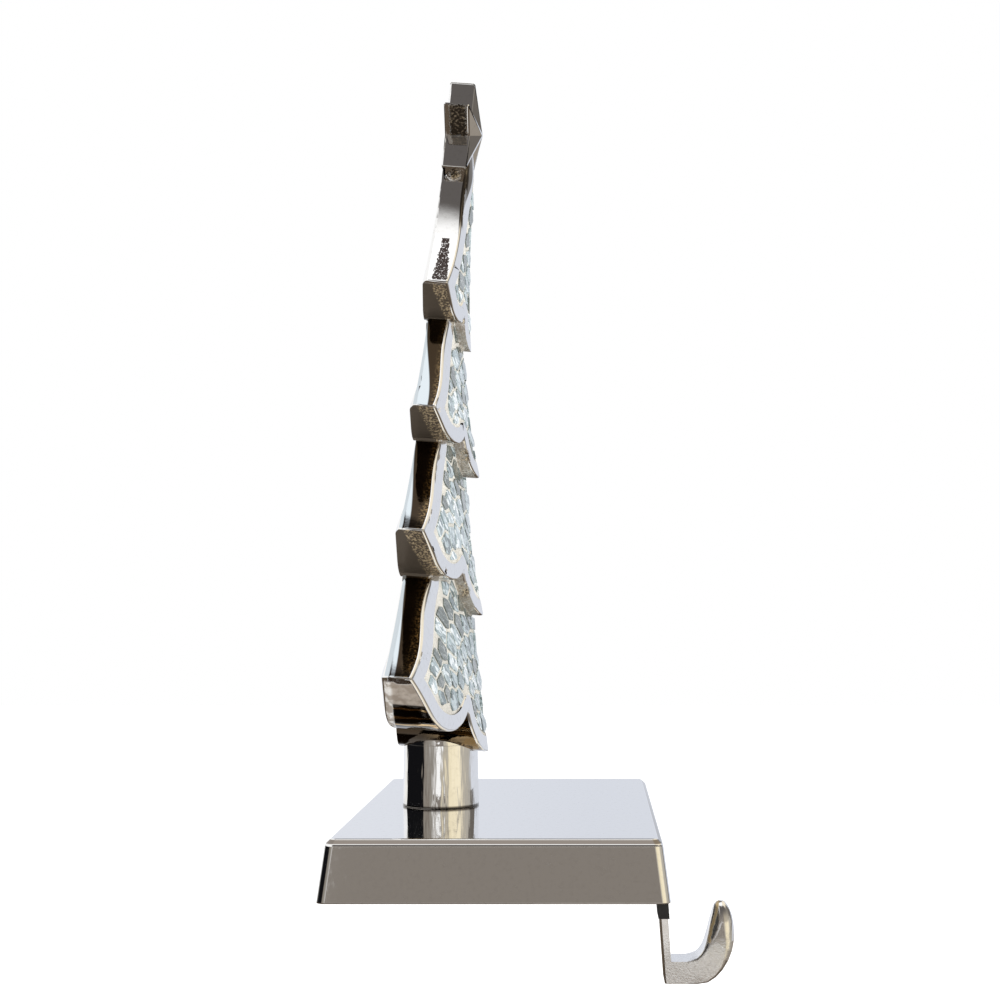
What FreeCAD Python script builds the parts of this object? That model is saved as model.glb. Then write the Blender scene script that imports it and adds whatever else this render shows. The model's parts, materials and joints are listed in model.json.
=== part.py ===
import FreeCAD, Part
import math
import os
from collections import namedtuple
from FreeCAD import Vector

# Mantel stocking holder: a weighted base with a J hook hung from its front edge, and on the
# base a cast tree in four scalloped tiers, set with crackle-glass mosaic, with a star on top.
# Millimetres. +X is the front, where the hook hangs, +Z is up.
# The origin is the centre of the felt face that lies on the mantel shelf.

# Base casting
BASE_DEPTH = 94.0            # along X, at the foot of the skirt
BASE_LENGTH = 149.5          # along Y, at the foot of the skirt
BASE_HEIGHT = 17.2
BASE_DRAFT = 7.5             # degrees, the lean of the skirt's four faces
BASE_CORNER_RADIUS = 2.6
BASE_EDGE_BEVEL = 1.6        # bevel that runs round the top face
SKIRT_WALL = 4.2
ROOF_THICKNESS = 4.2
FELT_PROUD = 0.4             # the felt stands this far below the skirt

# What fills the base
FELT_THICKNESS = 1.6
FELT_GAP = 0.6               # between the felt's rim and the skirt
PLATE_GAP = 0.5              # between the ballast plate and the skirt
BOSS_RADIUS = 4.5
BOSS_HEIGHT = 5.0
BOSS_CLEARANCE = 0.4
BOSS_INSET = 14.0            # from the outside of the skirt to a boss's axis
BALLAST_SCREW_RADIUS = 2.0
SCREW_CLEARANCE = 0.25
SCREW_HEAD_RATIO = 2.0       # head radius over shank radius
SCREW_HEAD_DEPTH = 2.2
THREAD_END_GAP = 0.6         # empty thread past a screw's end

# Hook
STRAP_WIDTH = 11.7
STRAP_THICKNESS = 2.5
STEM_SET_IN = 0.5            # from the skirt's foot back to the middle of the stem, at the tab
STEM_RAKE = 2.5              # the stem comes forward this much on its way down to the arm
TAB_LENGTH = 44.0            # from the stem back under the base
TAB_CLEARANCE = 0.25
ARM_TOP_Z = -30.0
ARM_BOTTOM_Z = -36.8
HOOK_SCREW_RADIUS = 2.0
HOOK_SCREW_SPACING = 20.0
HOOK_SCREW_FROM_STEM = 14.0
HOOK_SCREW_COVER = 1.4       # metal left between the hook screws' ends and the base's roof
SLEEVE_WALL = 0.45
SLEEVE_FOOT_Z = -16.9
SLEEVE_TOP_GAP = 0.3

# Tree
TREE_LEAN = 4.08             # degrees that the flat back leans forward
TREE_BACK_X = -33.3          # where the back plane meets the base's top
SECTION_POWER = 1.5          # 1 would be a straight roof, 2 a parabola
SECTION_MARGIN = 4.0         # relief carried past the outline before it is trimmed
LEAST_SWELL = 0.3            # the ridge always stands at least this far before the edges
TUCK_SLOPE = 0.25            # a tier sinks this much for each mm it runs up behind the next
TUCK_HEIGHT = 3.0            # a tier runs this far up past the cusps of the tier above
SHOULDER_ACROSS = 0.52       # where a side lobe's straight flank turns into its round bottom
SHOULDER_DOWN = 0.69

TRUNK_X = -20.4
TRUNK_FOOT_RADIUS = 11.7
TRUNK_TOP_RADIUS = 11.2
TRUNK_TOP_Z = 39.6

# Star
STAR_RADIUS = 16.4           # to the points as they would be if they ran out sharp
STAR_POINT_CUT = 0.7         # each point is blunted by this much
STAR_RIM_THICKNESS = 7.4
STAR_PEAK = 11.3
STAR_INNER_RATIO = 0.382     # a regular five-pointed star
STAR_SEAT = 2.2              # the neck's top reaches this far up between the star's legs
NECK_LENGTH = 6.6            # straight end of the neck, which the star is seated on

# Trunk bolt
BOLT_RADIUS = 4.0
BOLT_HEAD_RADIUS = 6.5
BOLT_HEAD_HEIGHT = 5.3
BOLT_IN_TRUNK = 22.0
WASHER_RADIUS = 8.0
WASHER_THICKNESS = 1.6
BOLT_WELL_CLEARANCE = 1.2

# Mosaic
BORDER_WIDTH = 4.8           # bright frame left round each field of mosaic
RECESS_DEPTH = 2.6
GROUT_SINK = 0.45            # grout lies this far below the frame
GROUT_MARGIN = 1.1           # bare grout between the frame and the nearest chips
CHIP_PITCH = 5.8
CHIP_STRETCH = 1.35          # chips are this much longer than wide
CHIP_TILT = -38.0            # degrees, the way their long side runs
CHIP_GAP = 0.95              # grout between neighbours, wider at the chips' ends
CHIP_THICKNESS = 1.6
CHIP_SINK = 0.06             # a chip's face lies this far under the relief at its middle
UPPER_GROUT_MARGIN = 0.45    # bare grout between chips and the tier that covers the field's top
CHIP_JITTER = 0.36           # of the pitch
SMALLEST_CHIP = 7.0          # square mm

# One tier of the tree, measured up the back plane from the base's top.
# start: half-width and height where the flank leaves the tier above; sag: hollow of the flank
# tip, low, cusp: outer point, foot of the side lobe, and corner between the lobes
# foot: lowest height of the middle lobe; crest: depth of the ridge at its top and at its foot
# crest_top: height at which the ridge has its upper depth; flare: how late the ridge swings out
# heel: how far the skirt stands out at the back, and how far above the tip that begins
# edge: depth of the front edge where the flank starts, and at the tip
# rounding: radius of the back edge along the flank, and round the side lobe, 0 for a crisp edge
Tier = namedtuple("Tier", "start sag tip low cusp foot crest_top crest flare heel edge rounding")

TIERS = [
    Tier((4.6, 196.6), 3.4, (26.2, 156.8), (15.6, 147.4), (8.0, 149.6), 140.6, 196.6,
         (9.5, 12.2), 2.5, (1.3, 34.0), (7.7, 6.0), (1.6, 0.0)),
    Tier((16.4, 147.4), 1.9, (38.5, 119.0), (22.8, 110.4), (12.0, 112.8), 101.9, 140.0,
         (10.5, 17.7), 1.5, (1.1, 6.0), (6.4, 6.2), (2.4, 0.0)),
    Tier((25.4, 110.2), 2.1, (51.4, 83.2), (30.6, 70.2), (16.2, 72.9), 59.8, 101.3,
         (13.9, 21.8), 1.5, (1.1, 6.0), (7.3, 6.8), (2.4, 0.0)),
    Tier((34.6, 69.9), 2.1, (64.1, 42.6), (37.0, 26.7), (19.2, 31.7), 18.2, 59.4,
         (18.8, 26.3), 1.1, (0.9, 6.0), (8.1, 7.6), (3.0, 2.4)),
]

# Horn of the hook: inner and outer point of each section seen from the side, forward of the
# stem and from the shelf, its width, and how round its corners are, from 0 to 1
HornSection = namedtuple("HornSection", "inner outer width round")

HORN = [
    HornSection((8.5, ARM_TOP_Z), (9.1, ARM_BOTTOM_Z), STRAP_WIDTH, 0.10),
    HornSection((11.7, -29.0), (14.9, -36.4), STRAP_WIDTH, 0.14),
    HornSection((13.7, -26.4), (19.5, -32.7), 11.4, 0.28),
    HornSection((14.8, -22.6), (22.5, -27.2), 10.6, 0.55),
    HornSection((15.5, -19.2), (23.3, -21.6), 9.4, 0.85),
    HornSection((16.3, -16.0), (22.7, -16.8), 7.8, 0.96),
    HornSection((17.2, -13.4), (21.3, -13.6), 5.0, 0.96),
    HornSection((18.5, -12.4), (20.1, -12.4), 2.0, 0.96),
]

HORN_STEPS = 2               # sections from one listed above to the next

STEM_X = BASE_DEPTH / 2.0 - STEM_SET_IN
ROOF_TOP_Z = BASE_HEIGHT
ROOF_UNDER_Z = BASE_HEIGHT - ROOF_THICKNESS
FAR = 60.0


def rounded_rectangle(size_x, size_y, radius, z):
    """A closed wire round the Z axis at height z."""
    hx = size_x / 2.0
    hy = size_y / 2.0
    bend = radius * (1.0 - math.sqrt(0.5))
    edges = []
    corners = [(1, 1), (-1, 1), (-1, -1), (1, -1)]
    for index, (sx, sy) in enumerate(corners):
        on_x_side = Vector(sx * hx, sy * (hy - radius), z)
        on_y_side = Vector(sx * (hx - radius), sy * hy, z)
        middle = Vector(sx * (hx - bend), sy * (hy - bend), z)
        first, last = (on_x_side, on_y_side) if sx * sy > 0 else (on_y_side, on_x_side)
        edges.append(Part.Arc(first, middle, last).toShape())
        nx, ny = corners[(index + 1) % 4]
        if nx * ny > 0:
            following = Vector(nx * hx, ny * (hy - radius), z)
        else:
            following = Vector(nx * (hx - radius), ny * hy, z)
        edges.append(Part.LineSegment(last, following).toShape())
    return Part.Wire(edges)


def drafted_block(inset, low_z, high_z, radius):
    """A block whose four sides lean as the skirt does, inset from the skirt's outside."""
    def wire(z):
        shrink = 2.0 * (inset + z * math.tan(math.radians(BASE_DRAFT)))
        return rounded_rectangle(BASE_DEPTH - shrink, BASE_LENGTH - shrink, radius, z)
    return Part.makeLoft([wire(low_z), wire(high_z)], True, True)


def boss_places():
    """Axes of the four bosses inside the base."""
    px = BASE_DEPTH / 2.0 - BOSS_INSET
    py = BASE_LENGTH / 2.0 - BOSS_INSET
    return [Vector(sx * px, sy * py, 0) for sx in (-1, 1) for sy in (-1, 1)]


def upright(radius, low_z, high_z, place):
    """A cylinder that stands at place from low_z to high_z."""
    return Part.makeCylinder(radius, high_z - low_z, Vector(place.x, place.y, low_z))


def tab_back_x():
    return STEM_X - TAB_LENGTH


def hook_screw_places():
    first = STEM_X - HOOK_SCREW_FROM_STEM
    return [Vector(first - i * HOOK_SCREW_SPACING, 0, 0) for i in range(2)]


def tab_space(clearance, front_x):
    """The slot that the hook's tab lies in, under the ballast plate and through the skirt."""
    half = STRAP_WIDTH / 2.0 + clearance
    back = tab_back_x() - clearance
    top = FELT_THICKNESS + STRAP_THICKNESS
    return Part.makeBox(front_x - back, 2.0 * half, top + FAR, Vector(back, -half, -FAR))


def base_shell():
    """Hollow drafted casting with a bevel round its top face, four bosses and a front notch."""
    shoulder_z = BASE_HEIGHT - BASE_EDGE_BEVEL
    body = drafted_block(0.0, FELT_PROUD, shoulder_z, BASE_CORNER_RADIUS)
    drafted = shoulder_z * math.tan(math.radians(BASE_DRAFT))
    lower = rounded_rectangle(BASE_DEPTH - 2 * drafted, BASE_LENGTH - 2 * drafted,
                              BASE_CORNER_RADIUS, shoulder_z)
    inset = 2 * (drafted + BASE_EDGE_BEVEL)
    upper = rounded_rectangle(BASE_DEPTH - inset, BASE_LENGTH - inset,
                              BASE_CORNER_RADIUS - BASE_EDGE_BEVEL * 0.5, BASE_HEIGHT)
    body = body.fuse(Part.makeLoft([lower, upper], True, True)).removeSplitter()
    body = body.cut(drafted_block(SKIRT_WALL, FELT_PROUD - 1.0, ROOF_UNDER_Z, BASE_CORNER_RADIUS))
    for place in boss_places():
        body = body.fuse(upright(BOSS_RADIUS, ROOF_UNDER_Z - BOSS_HEIGHT, ROOF_UNDER_Z + 1, place))
        body = body.cut(upright(BALLAST_SCREW_RADIUS, ROOF_UNDER_Z - BOSS_HEIGHT,
                                ROOF_UNDER_Z + THREAD_END_GAP, place))
    bolt_hole = upright(BOLT_RADIUS + SCREW_CLEARANCE, 0, FAR, Vector(TRUNK_X, 0, 0))
    slot = tab_space(TAB_CLEARANCE, FAR)
    return body.cut(bolt_hole).cut(slot)


def countersunk_screw(radius, head_z, end_z, place):
    """A screw driven up from below, its flat head at head_z."""
    neck_z = head_z + SCREW_HEAD_DEPTH
    head = Part.makeCone(radius * SCREW_HEAD_RATIO, radius, SCREW_HEAD_DEPTH,
                         Vector(place.x, place.y, head_z))
    return head.fuse(upright(radius, neck_z, end_z, place)).removeSplitter()


def screw_hole(radius, head_z, end_z, place):
    """Clearance hole with the countersink that the head sits in."""
    head = Part.makeCone(radius * SCREW_HEAD_RATIO, radius, SCREW_HEAD_DEPTH,
                         Vector(place.x, place.y, head_z))
    shank = upright(radius + SCREW_CLEARANCE, head_z, end_z, place)
    return head.fuse(shank)


def ballast_plate():
    """Iron plate that fills the base, with wells for the bosses, the bolt and the tab."""
    plate = drafted_block(SKIRT_WALL + PLATE_GAP, FELT_THICKNESS, ROOF_UNDER_Z, BASE_CORNER_RADIUS)
    for place in boss_places():
        well = upright(BOSS_RADIUS + BOSS_CLEARANCE, ROOF_UNDER_Z - BOSS_HEIGHT, FAR, place)
        plate = plate.cut(well)
        plate = plate.cut(screw_hole(BALLAST_SCREW_RADIUS, FELT_THICKNESS, FAR, place))
    well = upright(WASHER_RADIUS + BOLT_WELL_CLEARANCE, 0, FAR, Vector(TRUNK_X, 0, 0))
    plate = plate.cut(well).cut(tab_space(TAB_CLEARANCE, FAR))
    for place in hook_screw_places():
        plate = plate.cut(upright(HOOK_SCREW_RADIUS, 0, hook_screw_end_z() + THREAD_END_GAP, place))
    return plate


def ballast_screws():
    end_z = ROOF_UNDER_Z
    return [countersunk_screw(BALLAST_SCREW_RADIUS, FELT_THICKNESS, end_z, place)
            for place in boss_places()]


def felt_pad():
    return drafted_block(SKIRT_WALL + FELT_GAP, 0.0, FELT_THICKNESS, BASE_CORNER_RADIUS)


def hook_screw_end_z():
    return ROOF_UNDER_Z - HOOK_SCREW_COVER


def hook_screws():
    return [countersunk_screw(HOOK_SCREW_RADIUS, FELT_THICKNESS, hook_screw_end_z(), place)
            for place in hook_screw_places()]


def trunk_washer():
    centre = Vector(TRUNK_X, 0, 0)
    low_z = ROOF_UNDER_Z - WASHER_THICKNESS
    ring = upright(WASHER_RADIUS, low_z, ROOF_UNDER_Z, centre)
    return ring.cut(upright(BOLT_RADIUS + SCREW_CLEARANCE, 0, FAR, centre))


def hexagon(radius, low_z, high_z, place):
    """A hexagonal head, radius to its corners."""
    points = []
    for step in range(7):
        angle = math.radians(60 * step)
        points.append(Vector(place.x + radius * math.cos(angle),
                             place.y + radius * math.sin(angle), low_z))
    return Part.Face(Part.makePolygon(points)).extrude(Vector(0, 0, high_z - low_z))


def trunk_bolt():
    centre = Vector(TRUNK_X, 0, 0)
    seat_z = ROOF_UNDER_Z - WASHER_THICKNESS
    head = hexagon(BOLT_HEAD_RADIUS, seat_z - BOLT_HEAD_HEIGHT, seat_z, centre)
    return head.fuse(upright(BOLT_RADIUS, seat_z, ROOF_TOP_Z + BOLT_IN_TRUNK, centre))


def side_profile(points, width):
    """Extrude an outline in the X-Z plane evenly to both sides of the middle."""
    corners = [Vector(x, -width / 2.0, z) for x, z in points]
    face = Part.Face(Part.makePolygon(corners + corners[:1]))
    return face.extrude(Vector(0, width, 0))


def stem_shift(z):
    """How far forward the raked stem has come at height z, counted from the tab's top."""
    top = FELT_THICKNESS + STRAP_THICKNESS
    return STEM_RAKE * (top - z) / (top - ARM_TOP_Z)


def stem_outline(grow, top_z, foot_z):
    """Four corners of the raked stem, grown on both faces."""
    half = STRAP_THICKNESS / 2.0 + grow
    top = STEM_X + stem_shift(top_z)
    foot = STEM_X + stem_shift(foot_z)
    return [(top - half, top_z), (top + half, top_z), (foot + half, foot_z), (foot - half, foot_z)]


def horn_wire(section):
    """Rounded section between an inner and an outer point, standing square to the horn."""
    inner = Vector(STEM_X + section.inner[0], 0, section.inner[1])
    outer = Vector(STEM_X + section.outer[0], 0, section.outer[1])
    centre = (inner + outer) * 0.5
    along = outer - inner
    half_a = along.Length / 2.0
    half_b = section.width / 2.0
    along.normalize()
    side = Vector(0, 1, 0)
    radius = section.round * min(half_a, half_b)
    bend = radius * (1.0 - math.sqrt(0.5))

    def at(a, b):
        return centre + along * a + side * b

    edges = []
    signs = [(1, 1), (-1, 1), (-1, -1), (1, -1)]
    for index, (sa, sb) in enumerate(signs):
        on_a = at(sa * half_a, sb * (half_b - radius))
        on_b = at(sa * (half_a - radius), sb * half_b)
        middle = at(sa * (half_a - bend), sb * (half_b - bend))
        first, last = (on_a, on_b) if sa * sb > 0 else (on_b, on_a)
        edges.append(Part.Arc(first, middle, last).toShape())
        na, nb = signs[(index + 1) % 4]
        if na * nb > 0:
            following = at(na * half_a, nb * (half_b - radius))
        else:
            following = at(na * (half_a - radius), nb * half_b)
        edges.append(Part.LineSegment(last, following).toShape())
    return Part.Wire(edges)


def lerp(a, b, share):
    return a + (b - a) * share


def eased(before, a, b, after, share):
    """A value on the smooth curve through four, at a share of the way from a to b."""
    leaving = (b - before) / 2.0
    arriving = (after - a) / 2.0
    rest = 1.0 - share
    return (lerp(a, b, share * share * (3.0 - 2.0 * share))
            + leaving * share * rest * rest - arriving * share * share * rest)


def horn_sections():
    """The listed sections and those on the smooth curve between them."""
    rows = [(*section.inner, *section.outer, section.width, section.round) for section in HORN]
    rows = rows[:1] + rows + rows[-1:]
    sections = []
    for index in range(1, len(rows) - 2):
        for step in range(HORN_STEPS):
            row = [eased(*values, step / HORN_STEPS) for values in zip(*rows[index - 1:index + 3])]
            sections.append(HornSection(row[:2], row[2:4], row[4], row[5]))
    return sections + HORN[-1:]


def hook():
    """Tab, raked stem, arm and rounded horn, all one casting."""
    tab_low = FELT_THICKNESS
    tab_high = FELT_THICKNESS + STRAP_THICKNESS
    tab = side_profile([(tab_back_x(), tab_low), (STEM_X, tab_low), (STEM_X, tab_high),
                        (tab_back_x(), tab_high)], STRAP_WIDTH)
    for place in hook_screw_places():
        tab = tab.cut(screw_hole(HOOK_SCREW_RADIUS, tab_low, FAR, place))
    stem = side_profile(stem_outline(0.0, tab_high, ARM_TOP_Z), STRAP_WIDTH)
    heel = stem_outline(0.0, tab_high, ARM_BOTTOM_Z)[3]
    knee = stem_outline(0.0, tab_high, ARM_TOP_Z)[3]
    arm = side_profile([knee, (STEM_X + HORN[0].inner[0], ARM_TOP_Z),
                        (STEM_X + HORN[0].outer[0], ARM_BOTTOM_Z), heel], STRAP_WIDTH)
    horn = Part.makeLoft([horn_wire(section) for section in horn_sections()], True, True)
    return tab.fuse([stem, arm, horn]).removeSplitter()


def hook_sleeve():
    """Rubber sleeve on the stem, which keeps the hook off the shelf's edge."""
    top_z = FELT_PROUD - SLEEVE_TOP_GAP
    tube = side_profile(stem_outline(SLEEVE_WALL, top_z, SLEEVE_FOOT_Z),
                        STRAP_WIDTH + 2.0 * SLEEVE_WALL)
    stem = side_profile(stem_outline(0.0, FELT_THICKNESS, ARM_TOP_Z), STRAP_WIDTH)
    return tube.cut(stem)


def arc(a, b, c):
    return Part.Arc(a, b, c).toShape()


def line(a, b):
    return Part.LineSegment(a, b).toShape()


def top_height(index):
    """How high tier number index runs up behind the tier above it."""
    if index == 0:
        return TIERS[0].start[1] + NECK_LENGTH
    return TIERS[index - 1].cusp[1] + TUCK_HEIGHT


def flank_share(tier, height):
    """How far down the flank a height is: 0 where it starts, 1 from the tip down."""
    share = (tier.start[1] - height) / (tier.start[1] - tier.tip[1])
    return min(1.0, max(0.0, share))


def half_width(tier, height):
    """Half-width of a tier's flank at a height; below the tip it stays as wide as the tip."""
    share = flank_share(tier, height)
    return lerp(tier.start[0], tier.tip[0], share) - 4.0 * tier.sag * share * (1.0 - share)


def ridge_depth(tier, height):
    """Depth of the middle ridge, from the back plane, at a height."""
    if height > tier.crest_top:
        return tier.crest[0] - TUCK_SLOPE * (height - tier.crest_top)
    share = (tier.crest_top - height) / (tier.crest_top - tier.foot)
    return lerp(tier.crest[0], tier.crest[1], share ** tier.flare)


def front_depth(tier, height, across):
    """Depth of the tier's front at a height and a distance from the middle."""
    edge = lerp(tier.edge[0], tier.edge[1], flank_share(tier, height) ** 3)
    ridge = max(ridge_depth(tier, height), edge + LEAST_SWELL)
    share = abs(across) / half_width(tier, height)
    return ridge - (ridge - edge) * share ** SECTION_POWER


def relief(index):
    """The tier's swelling front as a solid, wider than the tier: a loft of plan sections."""
    tier = TIERS[index]
    top = top_height(index) + 1.0
    bottom = tier.foot - 1.5
    heights = [top, lerp(top, tier.start[1], 0.6), lerp(tier.start[1], tier.tip[1], 0.5),
               tier.tip[1], lerp(tier.tip[1], tier.foot, 0.5), bottom]
    wires = []
    for height in heights:
        edge = half_width(tier, height) + SECTION_MARGIN

        def at(across, sunk=False):
            depth = -SECTION_MARGIN if sunk else front_depth(tier, height, across)
            return Vector(depth, across, height)

        wires.append(Part.Wire([arc(at(edge), at(edge / 2), at(0)),
                                arc(at(0), at(-edge / 2), at(-edge)),
                                line(at(-edge), at(-edge, True)),
                                line(at(-edge, True), at(edge, True)),
                                line(at(edge, True), at(edge))]))
    return Part.makeLoft(wires, True, False)


def tier_wire(index):
    """Closed outline of one tier in its own upright plane."""
    tier = TIERS[index]
    top = top_height(index)

    def at(across, height, side):
        return Vector(0, side * across, height)

    shoulder = (lerp(tier.tip[0], tier.low[0], SHOULDER_ACROSS),
                lerp(tier.tip[1], tier.low[1], SHOULDER_DOWN))
    flank = (half_width(tier, lerp(tier.start[1], tier.tip[1], 0.5)),
             lerp(tier.start[1], tier.tip[1], 0.5))
    right = []
    left = []
    for side, edges in ((1, right), (-1, left)):
        edges.append(line(at(tier.start[0], top, side), at(*tier.start, side)))
        edges.append(arc(at(*tier.start, side), at(*flank, side), at(*tier.tip, side)))
        edges.append(line(at(*tier.tip, side), at(*shoulder, side)))
        edges.append(arc(at(*shoulder, side), at(*tier.low, side), at(*tier.cusp, side)))
    lobe = arc(at(*tier.cusp, 1), at(0, tier.foot, 1), at(*tier.cusp, -1))
    crown = line(at(tier.start[0], top, -1), at(tier.start[0], top, 1))
    return Part.Wire(Part.__sortEdges__(right + [lobe] + left + [crown]))


def prism(wire, low=0.0, high=FAR):
    """Extrude an outline in the back plane forward, from depth low to depth high."""
    face = Part.Face(wire)
    face.translate(Vector(low, 0, 0))
    return face.extrude(Vector(high - low, 0, 0))


def shifted(shape, depth):
    """The same shape sunk by depth towards the back plane."""
    copy = shape.copy()
    copy.translate(Vector(-depth, 0, 0))
    return copy


def rounded_back(whole, index):
    """Round the back edge of both flanks, and of the side lobes where a radius is given."""
    tier = TIERS[index]
    half = whole
    for edge in whole.Edges:
        middle = edge.CenterOfMass
        if edge.BoundBox.XMax > 0 or middle.y < tier.cusp[0] or middle.z > tier.start[1]:
            continue
        radius = tier.rounding[0] if middle.z > tier.tip[1] else tier.rounding[1]
        if radius > 0:
            half = half.cut(whole.cut(whole.makeFillet(radius, [edge])))
    return half.common(half.mirror(Vector(0, 0, 0), Vector(0, 1, 0)))


def tier_blank(index):
    """One tier before its front is shaped: rounded back edges, and a skirt that stands out."""
    tier = TIERS[index]
    depth, above = tier.heel
    blank = rounded_back(prism(tier_wire(index), -depth), index)
    side = tier.tip[0] + SECTION_MARGIN
    top = top_height(index) + SECTION_MARGIN
    points = [Vector(0, -side, top), Vector(0, -side, tier.tip[1] + above),
              Vector(-depth, -side, tier.tip[1]), Vector(-2 * depth, -side, tier.tip[1]),
              Vector(-2 * depth, -side, top)]
    above_heel = Part.Face(Part.makePolygon(points + points[:1])).extrude(Vector(0, 2 * side, 0))
    return blank.cut(above_heel)


def field_slab(index, front, sink):
    """The curved slab of tier number index that holds its mosaic, its face sunk by sink."""
    inner = tier_wire(index).makeOffset2D(-BORDER_WIDTH)
    slab = prism(inner).common(shifted(front, sink))
    slab = slab.cut(shifted(front, RECESS_DEPTH))
    if index > 0:
        slab = slab.cut(prism(tier_wire(index - 1), -1.0))
    return slab


def noise(a, b):
    """A repeatable number from 0 to 1."""
    value = math.sin(a * 12.9898 + b * 78.233) * 43758.5453
    return value - math.floor(value)


def clip(polygon, point, normal):
    """The part of a convex polygon on the inner side of a line."""
    kept = []
    for index, here in enumerate(polygon):
        after = polygon[(index + 1) % len(polygon)]
        d_here = (here[0] - point[0]) * normal[0] + (here[1] - point[1]) * normal[1]
        d_after = (after[0] - point[0]) * normal[0] + (after[1] - point[1]) * normal[1]
        if d_here <= 0:
            kept.append(here)
        if (d_here < 0 < d_after) or (d_after < 0 < d_here):
            share = d_here / (d_here - d_after)
            kept.append((lerp(here[0], after[0], share), lerp(here[1], after[1], share)))
    return kept


def polygon_area(polygon):
    total = 0.0
    for index, here in enumerate(polygon):
        after = polygon[(index + 1) % len(polygon)]
        total += here[0] * after[1] - after[0] * here[1]
    return abs(total) / 2.0


def tidy_polygon(polygon, shortest=0.5):
    """Leave out corners that lie closer together than shortest."""
    kept = []
    for corner in polygon:
        if not kept or math.dist(corner, kept[-1]) > shortest:
            kept.append(corner)
    if len(kept) > 2 and math.dist(kept[0], kept[-1]) <= shortest:
        kept.pop()
    return kept


def seeds(tier_number, reach):
    """Jittered rows of chip centres, out to a distance from the middle."""
    rows = {}
    row_step = CHIP_PITCH * math.sqrt(0.75)
    count = int(reach / row_step) + 2
    for row in range(-count, count + 1):
        for column in range(-count, count + 1):
            offset = 0.5 if row % 2 else 0.0
            push_a = noise(row + 17 * tier_number, column) - 0.5
            push_b = noise(column + 5 * tier_number, row + 31) - 0.5
            rows[(row, column)] = ((column + offset + 2 * CHIP_JITTER * push_a) * CHIP_PITCH,
                                   (row + 2 * CHIP_JITTER * push_b) * row_step)
    return rows


def laid(point, middle_height):
    """Stretch and turn a point of the chip pattern, and set it on the tier."""
    angle = math.radians(CHIP_TILT)
    along = point[0] * CHIP_STRETCH
    return (along * math.cos(angle) - point[1] * math.sin(angle),
            middle_height + along * math.sin(angle) + point[1] * math.cos(angle))


def chip_polygons(index):
    """Straight-sided chips over the tier's field, with a grout line between neighbours."""
    bound = tier_wire(index).makeOffset2D(-BORDER_WIDTH - GROUT_MARGIN)
    field = Part.Face(bound)
    if index > 0:
        cover = tier_wire(index - 1).makeOffset2D(UPPER_GROUT_MARGIN)
        field = field.cut(Part.Face(cover))
    rims = Part.makeCompound(field.Wires)
    box = field.BoundBox
    middle = (box.ZMin + box.ZMax) / 2.0
    table = seeds(index, math.hypot(box.YMax, box.ZMax - middle))
    polygons = []
    reach = 1.3 * CHIP_PITCH
    for (row, column), seed in table.items():
        across, height = laid(seed, middle)
        if abs(across) > box.YMax + reach or abs(height - middle) > box.ZMax - middle + reach:
            continue
        polygon = [(seed[0] + a * reach, seed[1] + b * reach)
                   for a, b in ((-1, -1), (1, -1), (1, 1), (-1, 1))]
        for other_row in range(row - 2, row + 3):
            for other_column in range(column - 2, column + 3):
                other = table.get((other_row, other_column))
                if other is None or other == seed:
                    continue
                away = (other[0] - seed[0], other[1] - seed[1])
                length = math.hypot(*away)
                normal = (away[0] / length, away[1] / length)
                half = (length - CHIP_GAP) / 2.0
                line_point = (seed[0] + normal[0] * half, seed[1] + normal[1] * half)
                polygon = clip(polygon, line_point, normal)
        polygon = trimmed_to_field([laid(corner, middle) for corner in polygon], field, rims)
        if len(polygon) > 2 and polygon_area(polygon) > SMALLEST_CHIP:
            polygons.append(polygon)
    return polygons


def trimmed_to_field(polygon, field, rims):
    """Nip a chip with straight cuts until it lies inside the field."""
    for _ in range(8):
        polygon = tidy_polygon(polygon)
        if len(polygon) < 3:
            return []
        worst = 0.12
        cut_at = None
        probes = list(polygon)
        for index, here in enumerate(polygon):
            after = polygon[(index + 1) % len(polygon)]
            probes.append((lerp(here[0], after[0], 0.5), lerp(here[1], after[1], 0.5)))
        for probe in probes:
            spot = Vector(0, probe[0], probe[1])
            if field.isInside(spot, 0.01, True):
                continue
            distance, pairs, _info = rims.distToShape(Part.Vertex(spot))
            if distance > worst:
                worst = distance
                cut_at = (pairs[0][0], spot)
        if cut_at is None:
            return polygon
        rim, spot = cut_at
        normal = ((spot.y - rim.y) / worst, (spot.z - rim.z) / worst)
        polygon = clip(polygon, (rim.y, rim.z), normal)
    return []


def relief_faces(front):
    """The two front faces of a relief, one each side of the ridge."""
    def faces_forward(face):
        u0, u1, v0, v1 = face.ParameterRange
        return abs(face.normalAt((u0 + u1) / 2.0, (v0 + v1) / 2.0).x) > 0.6

    ranked = [face for face in front.Faces
              if faces_forward(face) and face.CenterOfMass.x > 0]
    return {1: max(ranked, key=lambda face: face.CenterOfMass.y),
            -1: min(ranked, key=lambda face: face.CenterOfMass.y)}


def glass_chips(index, front):
    """Flat chips laid square to the tier's swelling front."""
    tier = TIERS[index]
    faces = relief_faces(front)
    chips = []
    for polygon in chip_polygons(index):
        across = sum(corner[0] for corner in polygon) / len(polygon)
        height = sum(corner[1] for corner in polygon) / len(polygon)
        surface = faces[1 if across >= 0 else -1].Surface
        guess = Vector(front_depth(tier, height, across), across, height)
        u, v = surface.parameter(guess)
        foot = surface.value(u, v)
        normal = surface.normal(u, v)
        if normal.x < 0:
            normal = normal * -1.0
        corners = []
        for y, h in polygon:
            rise = (normal.y * (y - foot.y) + normal.z * (h - foot.z)) / normal.x
            corners.append(Vector(foot.x - rise, y, h) - normal * CHIP_SINK)
        face = Part.Face(Part.makePolygon(corners + corners[:1]))
        chips.append(face.extrude(normal * -CHIP_THICKNESS))
    return chips


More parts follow.
